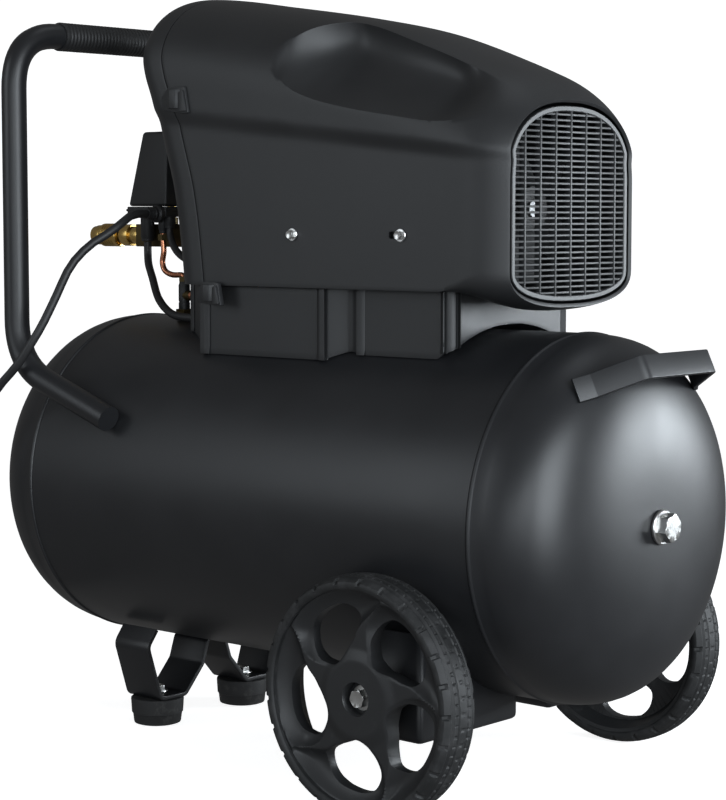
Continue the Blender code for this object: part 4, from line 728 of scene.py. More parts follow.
for name, side in (("near", NEAR), ("far", FAR)):
    shape = worked(disc_shape(), less(window_cutter()))
    rims = [edge for edge in shape.edges if len(edge.link_faces) == 2 and edge.calc_face_angle(0) > 0.6
            and 0.030 < Vector(edge.verts[0].co[:2]).length < 0.080 and edge.verts[0].co.z > -0.020]
    bmesh.ops.bevel(shape, geom=rims, offset=0.0006, segments=2, profile=0.5, affect="EDGES",
                    clamp_overlap=True)
    bmesh.ops.transform(shape, matrix=facing(side), verts=shape.verts)
    bmesh.ops.recalc_face_normals(shape, faces=shape.faces)
    stand(f"wheel_disc_{name}", shape, wheel_plastic, f"wheel_{name}_body", (f"wheel_{name}",), 40)
    seat = facing(side) @ Vector((0, 0, -0.0098))
    out = facing(side) @ Vector((0, 0, 1))
    washer = spun([(0.0, 0.0), (0.0100, 0.0), (0.0104, 0.0004), (0.0102, 0.0014), (0.0, 0.0016)], seat, out,
                  48)
    head = hex_head(0.0078, 0.0072, seat + (out - seat).normalized() * 0.0012, out, 0.2, -0.0006)
    stand(f"wheel_bolt_head_{name}", merged(washer, head), zinc, stands_for=(f"wheel_bolt_{name}",))

# --------------------------------------------------------------------------------------------------------
# Tyres: solid black rubber. Twenty-five lugs go round each shoulder, with grooves and small blocks
# between them on the tread, worn a little grey where they touch the floor.

tyre_rubber = Finish("tyre_rubber_black", "tyre_rubber")
worn = tyre_rubber.noise(60, 6, 0.7)
tyre_rubber.set(Base_Color=worn.step(0.42, 0.72).blend((0.009, 0.0095, 0.010), (0.026, 0.026, 0.027)),
                Roughness=0.50 + worn * 0.22).bumped(tyre_rubber.noise(1100, 3), 0.00018, 0.6)
TYRE_SIDES = 500
LUGS = 25
half_profile = [(0.0885, 0.0172), (0.0893, 0.0184), (0.0905, 0.0190), (0.0925, 0.0193), (0.0940, 0.0192),
                (0.0953, 0.0187), (0.0958, 0.0180), (0.0968, 0.0168), (0.0978, 0.0150), (0.0983, 0.0138),
                (0.0986, 0.0126), (0.0991, 0.0112), (0.0993, 0.0100), (0.0993, 0.0088), (0.0996, 0.0078),
                (0.0998, 0.0066), (0.0998, 0.0052), (0.0999, 0.0042), (0.0999, 0.0030), (0.1000, 0.0018),
                (0.1000, 0.0006)]
tyre_line = half_profile + [(radius, -off) for radius, off in reversed(half_profile)]


def carved(radius, off, angle):
    """How deep the tread is cut at a place across the tyre and round it."""
    place = abs(off)
    turn = (angle * LUGS / math.tau + (0.5 if off < 0 else 0.0)) % 1
    near_cut = min(turn, 1 - turn)
    if place > 0.0140:
        return 0.0022 * (1 - eased((near_cut - 0.05) / 0.05)) if radius > 0.0935 else 0.0
    if 0.0105 < place < 0.0130:
        return 0.0008
    if 0.0060 < place < 0.0100:
        return 0.0010 if 0.30 < turn < 0.36 or 0.66 < turn < 0.72 or near_cut < 0.04 else 0.0
    if 0.0045 < place < 0.0060:
        return 0.0010
    if place < 0.0024:
        return 0.0008 if (turn * 2) % 1 < 0.12 else 0.0
    return 0.0


for name, side in (("near", NEAR), ("far", FAR)):
    shape = bmesh.new()
    rows = []
    for k in range(TYRE_SIDES):
        angle = math.tau * k / TYRE_SIDES
        rows.append([shape.verts.new(((radius - carved(radius, off, angle)) * math.cos(angle),
                                      (radius - carved(radius, off, angle)) * math.sin(angle), off - 0.0150))
                     for radius, off in tyre_line])
    walled(shape, rows, closed=True)
    bmesh.ops.transform(shape, matrix=facing(side), verts=shape.verts)
    bmesh.ops.recalc_face_normals(shape, faces=shape.faces)
    stand(f"tyre_tread_{name}", shape, tyre_rubber, f"wheel_{name}_body", (f"tyre_{name}",), 30)

# --------------------------------------------------------------------------------------------------------
# Handles: a powder-coated steel tube runs up from each side of the tank and across behind the hood, where
# it has a ribbed rubber grip. A bent flat bar welded to the grille-end head is for lifting.

TUBE_RADIUS = 0.012
HANDLE_Y = 0.153
side_line = [(0.106, 0.302), (0.060, 0.3181), (-0.021, 0.3464, 0.062), (-0.021, 0.500)]
side_line = filleted(side_line, 14)
corner = filleted([(-HANDLE_Y, 0.500), (-HANDLE_Y, 0.656, 0.052), (0.0, 0.656)], 14)
upright = [(x, -HANDLE_Y, z) for x, z in side_line[:-1]] + [(-0.021, y, z) for y, z in corner]
handle_points = [at(*p) for p in upright + [(x, -y, z) for x, y, z in reversed(upright[:-1])]]
cable("handle_tube", handle_points, TUBE_RADIUS, tank_paint, stands_for=("push_handle",))

grip_rubber = Finish("grip_rubber", "rubber")
grain = grip_rubber.noise(1000, 2)
grip_rubber.set(Base_Color=(0.013, 0.013, 0.0135), Roughness=0.48 + grain * 0.15).bumped(grain, 0.0001, 0.5)
GRIP_HALF = 0.098
ribs = 44
pitch = 2 * (GRIP_HALF - 0.005) / ribs
grip_line = [(0.0121, -GRIP_HALF), (0.0134, -GRIP_HALF + 0.0003), (0.0136, -GRIP_HALF + 0.0010),
             (0.0136, -GRIP_HALF + 0.0040)]
for rib in range(ribs):
    start = -GRIP_HALF + 0.005 + rib * pitch
    grip_line += [(0.01285, start), (0.0128, start + pitch * 0.16), (0.0135, start + pitch * 0.38),
                  (0.0136, start + pitch * 0.60), (0.0135, start + pitch * 0.82)]
grip_line += [(0.0136, GRIP_HALF - 0.0040), (0.0136, GRIP_HALF - 0.0010), (0.0134, GRIP_HALF - 0.0003),
              (0.0121, GRIP_HALF)]
centre = at(-0.021, 0, 0.656)
stand("grip_sleeve", spun(grip_line, centre, centre + Vector((0, 1, 0)), 64), grip_rubber,
      stands_for=("handle_grip",))

LIFT_TILT = math.radians(25)
lean = Vector((math.sin(LIFT_TILT), 0, -math.cos(LIFT_TILT)))
out = Vector((math.cos(LIFT_TILT), 0, math.sin(LIFT_TILT)))
grip = at(0.617, 0, 0.3675)
depth = (grip - at(0.586, 0, 0.350)).dot(out)
half_bar = [(0.048, 0.0, 0.008), (0.071, -depth, 0.005), (0.0835, -depth - 0.0094)]
bar_line = filleted([(-y, rise, *bend) for y, rise, *bend in reversed(half_bar)] + half_bar, 6)
frame_of_bar = Matrix(((0, out.x, lean.x, grip.x), (1, 0, 0, grip.y), (0, out.z, lean.z, grip.z),
                       (0, 0, 0, 1)))
stand("lift_bar", flat_bar(bar_line, 0.020, 0.004, frame_of_bar), tank_paint, stands_for=("lift_handle",))

# --------------------------------------------------------------------------------------------------------
# Hood: a moulded shell whose roof falls to the nose, with a long drop-shaped scoop pressed into each side
# and a slight swell above a sloping crease. A separate rear cover, with the same section, closes it at
# the handle end.

HOOD_HALF = 0.0985
BASE_Z = 0.424
FRONT_X = 0.512
BELLY_X = 0.446
SEAM = 0.056
FULL = 2.4
ROOF = ((0.05, 0.690), (0.12, 0.688), (0.19, 0.678), (0.29, 0.662), (0.37, 0.645), (0.44, 0.621),
        (0.512, 0.592))
BACK = ((0.38, 0.122), (0.43, 0.118), (0.51, 0.106), (0.553, 0.093), (0.593, 0.081), (0.613, 0.073),
        (0.638, 0.067), (0.70, 0.067))
SCOOP_HIGH = ((0.262, 0.622), (0.266, 0.632), (0.275, 0.643), (0.288, 0.651), (0.305, 0.654), (0.330, 0.650),
              (0.400, 0.628), (0.450, 0.609), (0.489, 0.592), (0.512, 0.580))
SCOOP_LOW = ((0.262, 0.622), (0.266, 0.612), (0.275, 0.602), (0.288, 0.594), (0.310, 0.586), (0.350, 0.577),
             (0.400, 0.569), (0.450, 0.563), (0.512, 0.568))


def through(value, table):
    """Where a value falls on a smooth curve through a table of pairs."""
    if value <= table[0][0]:
        return table[0][1]
    for index in range(len(table) - 1):
        (x0, y0), (x1, y1) = table[index], table[index + 1]
        if value > x1:
            continue
        slope = (y1 - y0) / (x1 - x0)
        before = (y0 - table[index - 1][1]) / (x0 - table[index - 1][0]) if index else slope
        after = (table[index + 2][1] - y1) / (table[index + 2][0] - x1) if index + 2 < len(table) else slope
        m0 = (before + slope) / 2 if before * slope > 0 else 0.0
        m1 = (after + slope) / 2 if after * slope > 0 else 0.0
        t = (value - x0) / (x1 - x0)
        return ((2 * t ** 3 - 3 * t ** 2 + 1) * y0 + (t ** 3 - 2 * t ** 2 + t) * m0 * (x1 - x0)
                + (3 * t ** 2 - 2 * t ** 3) * y1 + (t ** 3 - t ** 2) * m1 * (x1 - x0))
    return table[-1][1]


SIDE, TOP, BELLY = 52, 56, 14


def section(line, belly):
    """The near half of a cross-section, from below up to the roof's middle; line gives x for a height."""
    points = []
    for row in range(-BELLY if belly else 0, SIDE + TOP + 1):
        z = BASE_Z + (0.688 - BASE_Z) * max(0, row) / (SIDE + TOP)
        for _ in range(5):
            x = line(z)
            spring = through(x, ROOF) - 0.080
            back = max(0.0, 1 - (x - through(z, BACK)) / 0.046)
            front = max(0.0, (x - FRONT_X) / 0.071 + 0.59)
            room = max(0.0, 1 - back ** FULL - front ** FULL) ** (1 / FULL)
            sink = eased((x - BELLY_X) / 0.050)
            low = BASE_Z + 0.016 * sink
            if row < 0:
                angle = math.pi / 2 * -row / BELLY
                z = low - 0.034 * sink * room * math.sin(angle) ** (2 / FULL)
                width = room * max(0.0, math.cos(angle)) ** (2 / FULL)
                width += (room * (1 + row / BELLY) - width) * (1 - min(1.0, sink / 0.06))
            elif row <= SIDE:
                z = low + (spring - low) * row / SIDE
                width = room
            else:
                angle = math.pi / 2 * (row - SIDE) / TOP
                z = spring + 0.080 * room * math.sin(angle) ** (2 / FULL)
                width = room * max(0.0, math.cos(angle)) ** (2 / FULL)
        crease = 0.578 - 0.108 * (x - 0.046)
        half = HOOD_HALF + 0.0045 * eased((z - crease) / 0.014)
        points.append(at(x, -half * width, z))
    return points


def rim_height(x, table, spread):
    """The height of one of the scoop's rims, held apart from the other one short of the scoop."""
    return through(x, table) + spread * max(0.0, min(1.0, (0.272 - x) / 0.010))


UNDER, ACROSS, OVER = 44, 36, 32
SCOOP_START, SCOOP_ROUND = 0.2615, 0.036
FADE_START, FADE_RUN = 0.430, 0.070
HOLLOW = 0.009


def scooped(points):
    """The same cross-section with its rows drawn to the scoop's rims, and the scoop sunk between them."""
    extra = len(points) - SIDE - TOP - 1
    body = points[extra:]
    run = [0.0]
    for a, b in zip(body, body[1:]):
        run.append(run[-1] + (b - a).length)
    marks = [0.0]
    for table, spread, usual in ((SCOOP_LOW, -0.010, 0.66), (SCOOP_HIGH, 0.010, 0.80)):
        over = [p.z - rim_height(p.x - SEAM_X, table, spread) for p in body]
        index = next((i for i in range(1, len(over)) if over[i - 1] < 0 <= over[i]), 0)
        if index:
            share = over[index - 1] / (over[index - 1] - over[index])
            marks.append(run[index - 1] + (run[index] - run[index - 1]) * share)
        else:
            marks.append(run[-1] * usual)
    marks.append(run[-1])
    rows, index = [], 0
    for (start, end), count in zip(zip(marks, marks[1:]), (UNDER, ACROSS, OVER)):
        for step in range(count + (end == marks[-1])):
            along = start + (end - start) * step / count
            while index < len(run) - 2 and run[index + 1] < along:
                index += 1
            share = (along - run[index]) / max(1e-9, run[index + 1] - run[index])
            rows.append(body[index].lerp(body[index + 1], share))
    low, high = rows[UNDER], rows[UNDER + ACROSS]
    for here in rows[UNDER + 1:UNDER + ACROSS]:
        x = here.x - SEAM_X
        begun = max(0.0, min(1.0, (x - SCOOP_START) / SCOOP_ROUND))
        sunk = (1 - (1 - begun) ** 2) * (1 - eased((x - FADE_START) / FADE_RUN))
        t = (here.z - low.z) / (high.z - low.z)
        floor = low.y + (high.y - low.y) * (1 - (1 - t) ** 2) + HOLLOW * math.sin(math.pi * t)
        here.y += (max(floor, here.y) - here.y) * sunk
    return points[:extra] + rows


def skin(lines, back_wall=False):
    """A surface over cross-sections and their mirror images."""
    shape = bmesh.new()
    rows = []
    for line, belly in lines:
        points = scooped(section(line, belly))
        near = [shape.verts.new(p) for p in points]
        far = [shape.verts.new((p.x, -p.y, p.z)) for p in points]
        rows.append((near, far))
    for (near, far), (next_near, next_far) in zip(rows, rows[1:]):
        for one, two in ((near, next_near), (far, next_far)):
            count = min(len(one), len(two))
            one, two = one[-count:], two[-count:]
            for a, b, c, d in zip(one, one[1:], two[1:], two):
                shape.faces.new((a, b, c, d))
    if back_wall:
        near, far = rows[0]
        for a, b, c, d in zip(near, near[1:], far[1:], far):
            shape.faces.new((a, b, c, d))
    bmesh.ops.remove_doubles(shape, verts=shape.verts, dist=0.00002)
    bmesh.ops.dissolve_degenerate(shape, edges=shape.edges, dist=0.00001)
    bmesh.ops.recalc_face_normals(shape, faces=shape.faces)
    top = max(shape.faces, key=lambda face: face.calc_center_median().z)
    if top.normal.z < 0:
        bmesh.ops.reverse_faces(shape, faces=shape.faces)
    return shape


WALL = ("SOLIDIFY", {"thickness": 0.003, "offset": -1.0})
SOFT_EDGE = ("BEVEL", {"width": 0.0009, "segments": 3, "limit_method": "ANGLE",
                       "angle_limit": math.radians(55)})
hood_plastic = Finish("hood_grained", "hood_plastic")
grain = hood_plastic.cells(1900) * 0.7 + hood_plastic.noise(3200, 2) * 0.5
haze = hood_plastic.noise(9, 4, 0.6).step(0.3, 0.75)
specks = hood_plastic.noise(330, 4, 0.7).step(0.70, 0.82)
hood_plastic.set(Base_Color=(haze * 0.4 + specks * 0.5).blend((0.0150, 0.0155, 0.0165),
                                                              (0.0270, 0.0275, 0.0290)),
                 Roughness=0.43 + haze * 0.06 + specks * 0.12).bumped(grain, 0.00013, 0.5)
seam_line = lambda z: through(z, BACK) + SEAM + 0.0012
lines = []
for step in range(86):
    share = step / 86
    lines.append((lambda z, s=share: seam_line(z) * (1 - s) + BELLY_X * s, False))
for step in range(31):
    x = BELLY_X + (FRONT_X - BELLY_X) * (step / 30)
    lines.append((lambda z, x=x: x, True))
slot = merged(*(slab(filleted([(0.3945, 0.4670, 0.0029), (0.4080, 0.4670), (0.4080, 0.4730),
                               (0.3945, 0.4730, 0.0029)], 4, True), 0.080, 0.115,
                     Matrix(((1, 0, 0, SEAM_X), (0, 0, side, 0), (0, 1, 0, 0), (0, 0, 0, 1))))
                for side in (NEAR, FAR)))
hood_shape = worked(skin(lines), WALL, less(slot), SOFT_EDGE)
stand("hood_shell", hood_shape, hood_plastic, stands_for=("hood",), crease=40)
cover_lines = [(lambda z, o=0.0008 + (SEAM - 0.0008) * (step / 30) ** 1.7: through(z, BACK) + o, False)
               for step in range(31)]
stand("rear_hood", worked(skin(cover_lines, True), WALL, SOFT_EDGE), hood_plastic,
      stands_for=("rear_cover",), crease=40)

# --------------------------------------------------------------------------------------------------------
# Screws that hold the hood: zinc-plated, with hexagon heads on washer faces. There are two on each side,
# the front one at the end of a short slot.

for side in (NEAR, FAR):
    for number, x in enumerate((0.285, 0.408), 1):
        seat = at(x, side * (HOOD_HALF + 0.0003), 0.470)
        out = seat + Vector((0, side, 0))
        head = merged(spun([(0.0, 0.0), (0.0053, 0.0), (0.0056, 0.0004), (0.0052, 0.0011), (0.0, 0.0014)],
                           seat, out, 48), hex_head(0.0039, 0.0040, seat + Vector((0, side * 0.0009, 0)),
                                                    out, 0.5 * number, -0.0005))
        if side == NEAR:
            stand(f"hood_screw_head_{number}", head, zinc, stands_for=(f"hood_screw_{number}",))
        else:
            stand(f"far_screw_head_{number}", head, zinc)

# --------------------------------------------------------------------------------------------------------
# Grille: a flat plastic panel set just inside the hood's front edge. Seven upright ribs and close level
# slats fill a plain rim, and the fan behind shows faintly between them.

grille_black = Finish("grille_black", "black_plastic")
grille_black.set(Base_Color=(0.020, 0.0205, 0.0215), Roughness=0.40 + grille_black.noise(1200, 2) * 0.12)
front = section(lambda z: FRONT_X, True)
front = [(p.y, p.z) for p in front]
front += [(-y, z) for y, z in reversed(front[1:-1])]


def drawn_in(loop, inset):
    """A closed loop of (y, z) pairs moved in towards its middle."""
    middle = Vector((0, 0.499))
    result = []
    for before, here, after in zip(loop[-1:] + loop[:-1], loop, loop[1:] + loop[:1]):
        along = (Vector(after) - Vector(before)).normalized()
        normal = Vector((along.y, -along.x))
        if normal.dot(middle - Vector(here)) < 0:
            normal = -normal
        result.append(Vector(here) + normal * inset)
    return result


def span(loop, level, axis):
    """The lowest and highest place where a line across the loop meets it."""
    hits = []
    for a, b in zip(loop, loop[1:] + loop[:1]):
        if (a[axis] > level) != (b[axis] > level):
            hits.append(a[1 - axis] + (b[1 - axis] - a[1 - axis]) * (level - a[axis]) / (b[axis] - a[axis]))
    return min(hits), max(hits)


GRILLE_X = FRONT_X - 0.0015
panel = bmesh.new()
loops = []
for inset, back in ((0.0050, 0.0060), (0.0050, 0.0006), (0.0056, 0.0), (0.0088, 0.0), (0.0096, 0.0007),
                    (0.0096, 0.0060)):
    loops.append([panel.verts.new(at(GRILLE_X - back, y, z)) for y, z in drawn_in(front, inset)])
walled(panel, loops, closed=True)
bmesh.ops.recalc_face_normals(panel, faces=panel.faces)
middle_loop = drawn_in(front, 0.0075)
facing_front = Matrix(((0, 0, 1, SEAM_X + GRILLE_X), (1, 0, 0, 0), (0, 1, 0, 0), (0, 0, 0, 1)))
bars = [panel]
low_z, high_z = min(p.y for p in middle_loop), max(p.y for p in middle_loop)
pitch = 0.168 / 8
for rib in range(-3, 4):
    low, high = span(middle_loop, rib * pitch, 0)
    y = rib * pitch
    bars.append(slab([(y - 0.0011, low), (y + 0.0011, low), (y + 0.0011, high), (y - 0.0011, high)],
                     -0.0060, -0.0003, facing_front, 0.0004, 2))
slats = 33
for slat in range(1, slats):
    z = low_z + (high_z - low_z) * slat / slats
    low, high = span(middle_loop, z, 1)
    bars.append(slab([(low, z - 0.00095), (high, z - 0.00095), (high, z + 0.00095), (low, z + 0.00095)],
                     -0.0058, -0.0008, facing_front, 0.0004, 2))
stand("grille_panel", merged(*bars), grille_black, stands_for=("intake_grille",))

# --------------------------------------------------------------------------------------------------------
# Snap clips: each is a thin moulded plate with a rounded barrel and a wedge, across a joint of the hood.

for level, x, z, long, tall in (("upper", 0.146, 0.590, 0.034, 0.024),
                                ("lower", 0.188, 0.4165, 0.030, 0.021)):
    for name, side in (("near", NEAR), ("far", FAR)):
        plane = Matrix(((1, 0, 0, SEAM_X + x), (0, 0, side, side * 0.1035), (0, 1, 0, z), (0, 0, 0, 1)))
        a, b = long / 2, tall / 2
        plate = slab(filleted([(-a, -b * 0.72, 0.002), (a * 0.55, -b, 0.002), (a, -b, 0.0015),
                               (a * 0.72, b, 0.002), (-a * 0.5, b, 0.003), (-a, b * 0.25, 0.003)], 4, True),
                     -0.0030, 0.0022, plane, 0.0006, 2)
        barrel = slab(filleted([(-0.0085, -0.0040), (-0.0085, 0.0, 0.0020), (-0.0045, 0.0040, 0.0035),
                                (0.0035, 0.0040, 0.0035), (0.0075, 0.0, 0.0020), (0.0075, -0.0040)], 5),
                      -b * 0.62, b * 0.80, Matrix(((1, 0, 0, SEAM_X + x), (0, side, 0, side * 0.1056),
                                                   (0, 0, 1, z), (0, 0, 0, 1))), 0.0005, 2)
        wedge = slab(filleted([(0.0060, -b * 0.85, 0.001), (a * 0.93, -b * 0.85, 0.001),
                               (a * 0.68, b * 0.75, 0.001), (0.0060, b * 0.55, 0.001)], 3, True), 0.0,
                     0.0040, plane, 0.0007, 2)
        stand(f"clip_{level}_moulding_{name}", merged(plate, barrel, wedge), hood_plastic,
              stands_for=(f"clip_{level}_{name}",))

# --------------------------------------------------------------------------------------------------------
# Base cowl: the plastic skirt round the pump's foot. Its side wall has an upright flute and steps in
# towards the grille end, and its lower edge follows the tank, arched clear of it in front.

COWL_TOP = 0.4232
half_plan = [(0.120, 0.0), (0.120, -0.058, 0.004), (0.1712, -0.090, 0.006), (0.312, -0.090, 0.016),
             (0.334, -0.0770, 0.010), (0.350, -0.0815, 0.010), (0.449, -0.0815, 0.012), (0.449, 0.0)]
plan = filleted(half_plan, 8)
plan = [(p.x, p.y) for p in smooth_line([(x, y, 0) for x, y in plan], 0.0016)]
plan += [(x, -y) for x, y in reversed(plan[1:-1])]
shape = bmesh.new()
levels = 10
wall = []
for x, y in plan:
    gap = 0.0012 + 0.0045 * eased((x - 0.432) / 0.010)
    foot = TANK_Z + math.sqrt((TANK_RADIUS + gap) ** 2 - y * y)
    wall.append([shape.verts.new(at(x, y, foot + (COWL_TOP - foot) * k / levels)) for k in range(levels + 1)])
for one, two in zip(wall, wall[1:] + wall[:1]):
    for a, b, c, d in zip(one, one[1:], two[1:], two):
        shape.faces.new((a, b, c, d))
bmesh.ops.recalc_face_normals(shape, faces=shape.faces)
outer = min(shape.faces, key=lambda face: face.calc_center_median().x)
if outer.normal.x > 0:
    bmesh.ops.reverse_faces(shape, faces=shape.faces)
stand("cowl_skirt", worked(shape, WALL, SOFT_EDGE), hood_plastic, stands_for=("base_cowl",), crease=40)
grommets = []
for y, z, radius in ((-0.022, 0.410, 0.0045), (-0.048, 0.3905, 0.0038)):
    grommets.append(spun([(radius, 0.0), (radius, -0.0022), (radius + 0.0024, -0.0022),
                          (radius + 0.0032, -0.0012), (radius + 0.0032, 0.0)], at(0.1202, y, z),
                         at(1.1202, y, z), 40))
stand("cowl_grommets", merged(*grommets), cord_rubber)

# --------------------------------------------------------------------------------------------------------
# Pump and motor, seen only as shapes behind the grille and under the hood: a cast crankcase with its
# finned cylinder and head, and a motor whose shaft carries the cooling fan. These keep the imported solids.

cast = Finish("cast_grey", "cast_aluminium")
rough_cast = cast.noise(500, 4, 0.7)
cast.set(Base_Color=(0.30, 0.305, 0.31), Metallic=1.0, Roughness=0.45 + rough_cast * 0.25)
cast.bumped(rough_cast, 0.0004, 0.5)
plate_steel = Finish("plate_steel", "steel")
plate_steel.set(Base_Color=(0.36, 0.365, 0.37), Metallic=1.0,
                Roughness=0.32 + plate_steel.noise(300, 4) * 0.2)
fan_black = Finish("fan_black", "black_plastic")
fan_black.set(Base_Color=(0.018, 0.018, 0.019), Roughness=0.45 + fan_black.noise(600, 2) * 0.12)
for node, finish in (("crankcase", cast), ("cylinder", cast), ("cylinder_head", cast),
                     ("piston_and_rod", cast), ("motor_housing", cast), ("rotor_shaft", plate_steel),
                     ("pump_saddle", plate_steel), ("cooling_fan", fan_black)):
    solid = frame["nodes"][node].data
    solid.materials.clear()
    solid.materials.append(finish.material)

# --------------------------------------------------------------------------------------------------------
# Pressure switch: a moulded base with glands under it and a tapering cover, whose auto/off knob faces the
# handle.

switch_black = Finish("switch_black", "black_plastic")
grain = switch_black.noise(1400, 2)
switch_black.set(Base_Color=(0.0135, 0.0140, 0.0150), Roughness=0.44 + grain * 0.12)
switch_black.bumped(grain, 0.00007, 0.5)
LEAN = 0.018
flat_up = Matrix.Translation(at(0, 0, 0))
base = slab(filleted([(-0.0010, -0.0310, 0.003), (0.0540, -0.0310, 0.003), (0.0540, 0.0310, 0.003),
                      (-0.0010, 0.0310, 0.003)], 4, True), 0.4850, 0.4950, flat_up, 0.0007, 2)
ledge = slab(filleted([(-0.0022, -0.0316, 0.003), (0.0546, -0.0316, 0.003), (0.0546, 0.0316, 0.003),
                       (-0.0022, 0.0316, 0.003)], 4, True), 0.4905, 0.4928, flat_up, 0.0005, 2)
glands = []
for x, y, radius, low in ((0.041, -0.022, 0.0045, 0.4692), (0.015, -0.018, 0.0068, 0.4614),
                          (0.046, -0.018, 0.0060, 0.4740)):
    top = at(x, y, 0.4870)
    glands.append(spun([(0.0, 0.0), (radius, 0.0), (radius, 0.4870 - low - 0.004),
                        (radius - 0.0007, 0.4870 - low - 0.003), (radius - 0.0007, 0.4870 - low - 0.0008),
                        (radius - 0.0014, 0.4870 - low), (0.0, 0.4870 - low)], top, top - Vector((0, 0, 1)),
                       40))
stand("switch_foot", merged(base, ledge, *glands), switch_black, stands_for=("pressure_switch_base",))
cover = bmesh.new()
bmesh.ops.create_cube(cover, size=1.0)
for corner in cover.verts:
    up, left = corner.co.z > 0, corner.co.x < 0
    corner.co = at((0.0 if left else 0.053) + (LEAN if up and left else 0.0),
                   math.copysign(0.030 - (0.003 if up else 0.0), corner.co.y), 0.567 if up else 0.4954)
bmesh.ops.bevel(cover, geom=cover.edges[:], offset=0.0032, segments=4, profile=0.5, affect="EDGES")
knob_x = LEAN * (0.528 - 0.485) / (0.567 - 0.485) - 0.004
boss = spun([(0.0, -0.006), (0.0130, -0.006), (0.0130, 0.0030), (0.0124, 0.0038), (0.0, 0.0038)],
            at(knob_x + 0.0038, 0, 0.528), at(knob_x - 1, 0, 0.528), 64)
top_ribs = [slab([(0.022, y - 0.0008), (0.049, y - 0.0008), (0.049, y + 0.0008), (0.022, y + 0.0008)],
                 0.5665, 0.5676, flat_up, 0.0003, 1) for y in (-0.012, -0.006, 0.0, 0.006, 0.012)]
stand("switch_cover", merged(cover, boss, *top_ribs), switch_black, stands_for=("pressure_switch_cover",),
      crease=50)
knob_red = Finish("knob_red", "red_plastic")
knob_red.set(Base_Color=(0.42, 0.018, 0.012), Roughness=0.34 + knob_red.noise(900, 2) * 0.12)
turned_knob = spun([(0.0, 0.0), (0.0113, 0.0), (0.0115, 0.0006), (0.0112, 0.0068), (0.0104, 0.0077),
                    (0.0, 0.0079)], at(knob_x - 0.0003, 0, 0.528), at(knob_x - 1, 0, 0.528), 64)
grip_bar = slab(filleted([(-0.0112, -0.0028, 0.0026), (0.0112, -0.0028, 0.0026), (0.0112, 0.0028, 0.0026),
                          (-0.0112, 0.0028, 0.0026)], 5, True), 0.0040, 0.0138,
                Matrix(((0, 0, -1, SEAM_X + knob_x), (0, 1, 0, 0), (1, 0, 0, 0.528), (0, 0, 0, 1))), 0.0009,
                3)
stand("switch_knob_moulding", merged(turned_knob, grip_bar), knob_red, "knob", ("switch_knob",))

# --------------------------------------------------------------------------------------------------------
# Air fittings: a square brass manifold on a steel riser, with the quick coupler, regulator, gauge and
# relief valve on it, and the check valve on the tank. Thin copper lines join them.

brass = Finish("yellow_brass", "brass")
turning = brass.noise(300, 4, 0.6)
stain = brass.noise(90, 5, 0.7).step(0.45, 0.75)
brass.set(Base_Color=stain.blend((0.66, 0.45, 0.15), (0.42, 0.27, 0.09)), Metallic=1.0,
          Roughness=0.20 + turning * 0.16 + stain * 0.12).bumped(turning, 0.00006, 0.5)
dull_brass = Finish("dull_brass", "brass")
dull_brass.set(Base_Color=(0.10, 0.075, 0.035), Metallic=1.0, Roughness=0.42 + dull_brass.noise(200, 4) * 0.2)
steel = Finish("plated_steel", "steel")
steel.set(Base_Color=(0.10, 0.10, 0.105), Metallic=1.0, Roughness=0.38 + steel.noise(200, 4) * 0.2)
copper = Finish("bright_copper", "copper")
patina = copper.noise(140, 5, 0.7).step(0.45, 0.75)
copper.set(Base_Color=patina.blend((0.72, 0.30, 0.17), (0.48, 0.18, 0.10)), Metallic=1.0,
           Roughness=0.20 + patina * 0.18 + copper.noise(700, 2) * 0.06)

BAR_Z = 0.467
block = slab(filleted([(-0.0100, -0.0110, 0.0012), (0.0990, -0.0110, 0.0012), (0.0990, 0.0110, 0.0012),
                       (-0.0100, 0.0110, 0.0012)], 3, True), BAR_Z - 0.011, BAR_Z + 0.011, flat_up, 0.0008, 2)
neck = spun([(0.0, -0.002), (0.0090, -0.002), (0.0090, 0.0066), (0.0, 0.0066)], at(0.0265, 0, BAR_Z + 0.011),
            at(0.0265, 0, 1), 48)
stand("manifold_block", merged(block, neck), dull_brass, stands_for=("manifold",))
riser_top, riser_foot = BAR_Z - 0.0100, 0.3885
riser_line = [(0.0, 0.0), (0.0135, 0.0), (0.0140, 0.0006), (0.0140, 0.0030), (0.0110, 0.0046),
              (0.0085, 0.0052)]
thread = [(0.0085 - (0.0006 if k % 2 else 0.0), riser_top - riser_foot - 0.0160 + 0.0012 * k)
          for k in range(12)]
stand("riser_pipe", spun(riser_line + thread + [(0.0085, riser_top - riser_foot),
                                                (0.0, riser_top - riser_foot)], at(0.088, 0, riser_foot),
                         at(0.088, 0, 1), 64), steel)

body = [(0.0045, 0.0), (0.0085, 0.0), (0.0087, 0.0006), (0.0087, 0.0120), (0.0085, 0.0128),
        (0.0085, 0.0138), (0.0105, 0.0140), (0.0107, 0.0146), (0.0107, 0.0248), (0.0105, 0.0254),
        (0.0078, 0.0256), (0.0075, 0.0262), (0.0075, 0.0560), (0.0092, 0.0572), (0.0098, 0.0580),
        (0.0098, 0.0642), (0.0092, 0.0652), (0.0088, 0.0660), (0.0088, 0.0692), (0.0082, 0.0699),
        (0.0056, 0.0700), (0.0048, 0.0690), (0.0045, 0.0670)]
coupler_end = at(-0.0103, 0, BAR_Z)
stand("coupler_body", spun(body, coupler_end, at(-1, 0, BAR_Z), 72, ring=True), brass,
      stands_for=("quick_coupler",))
ring = [(0.0080, 0.0), (0.0110, 0.0), (0.0115, 0.0005), (0.0115, 0.0036)]
for groove in range(5):
    start = 0.0044 + groove * 0.0034
    ring += [(0.0115, start), (0.0107, start + 0.0005), (0.0107, start + 0.0013), (0.0115, start + 0.0018)]
ring += [(0.0115, 0.0243), (0.0110, 0.0249), (0.0080, 0.0249)]
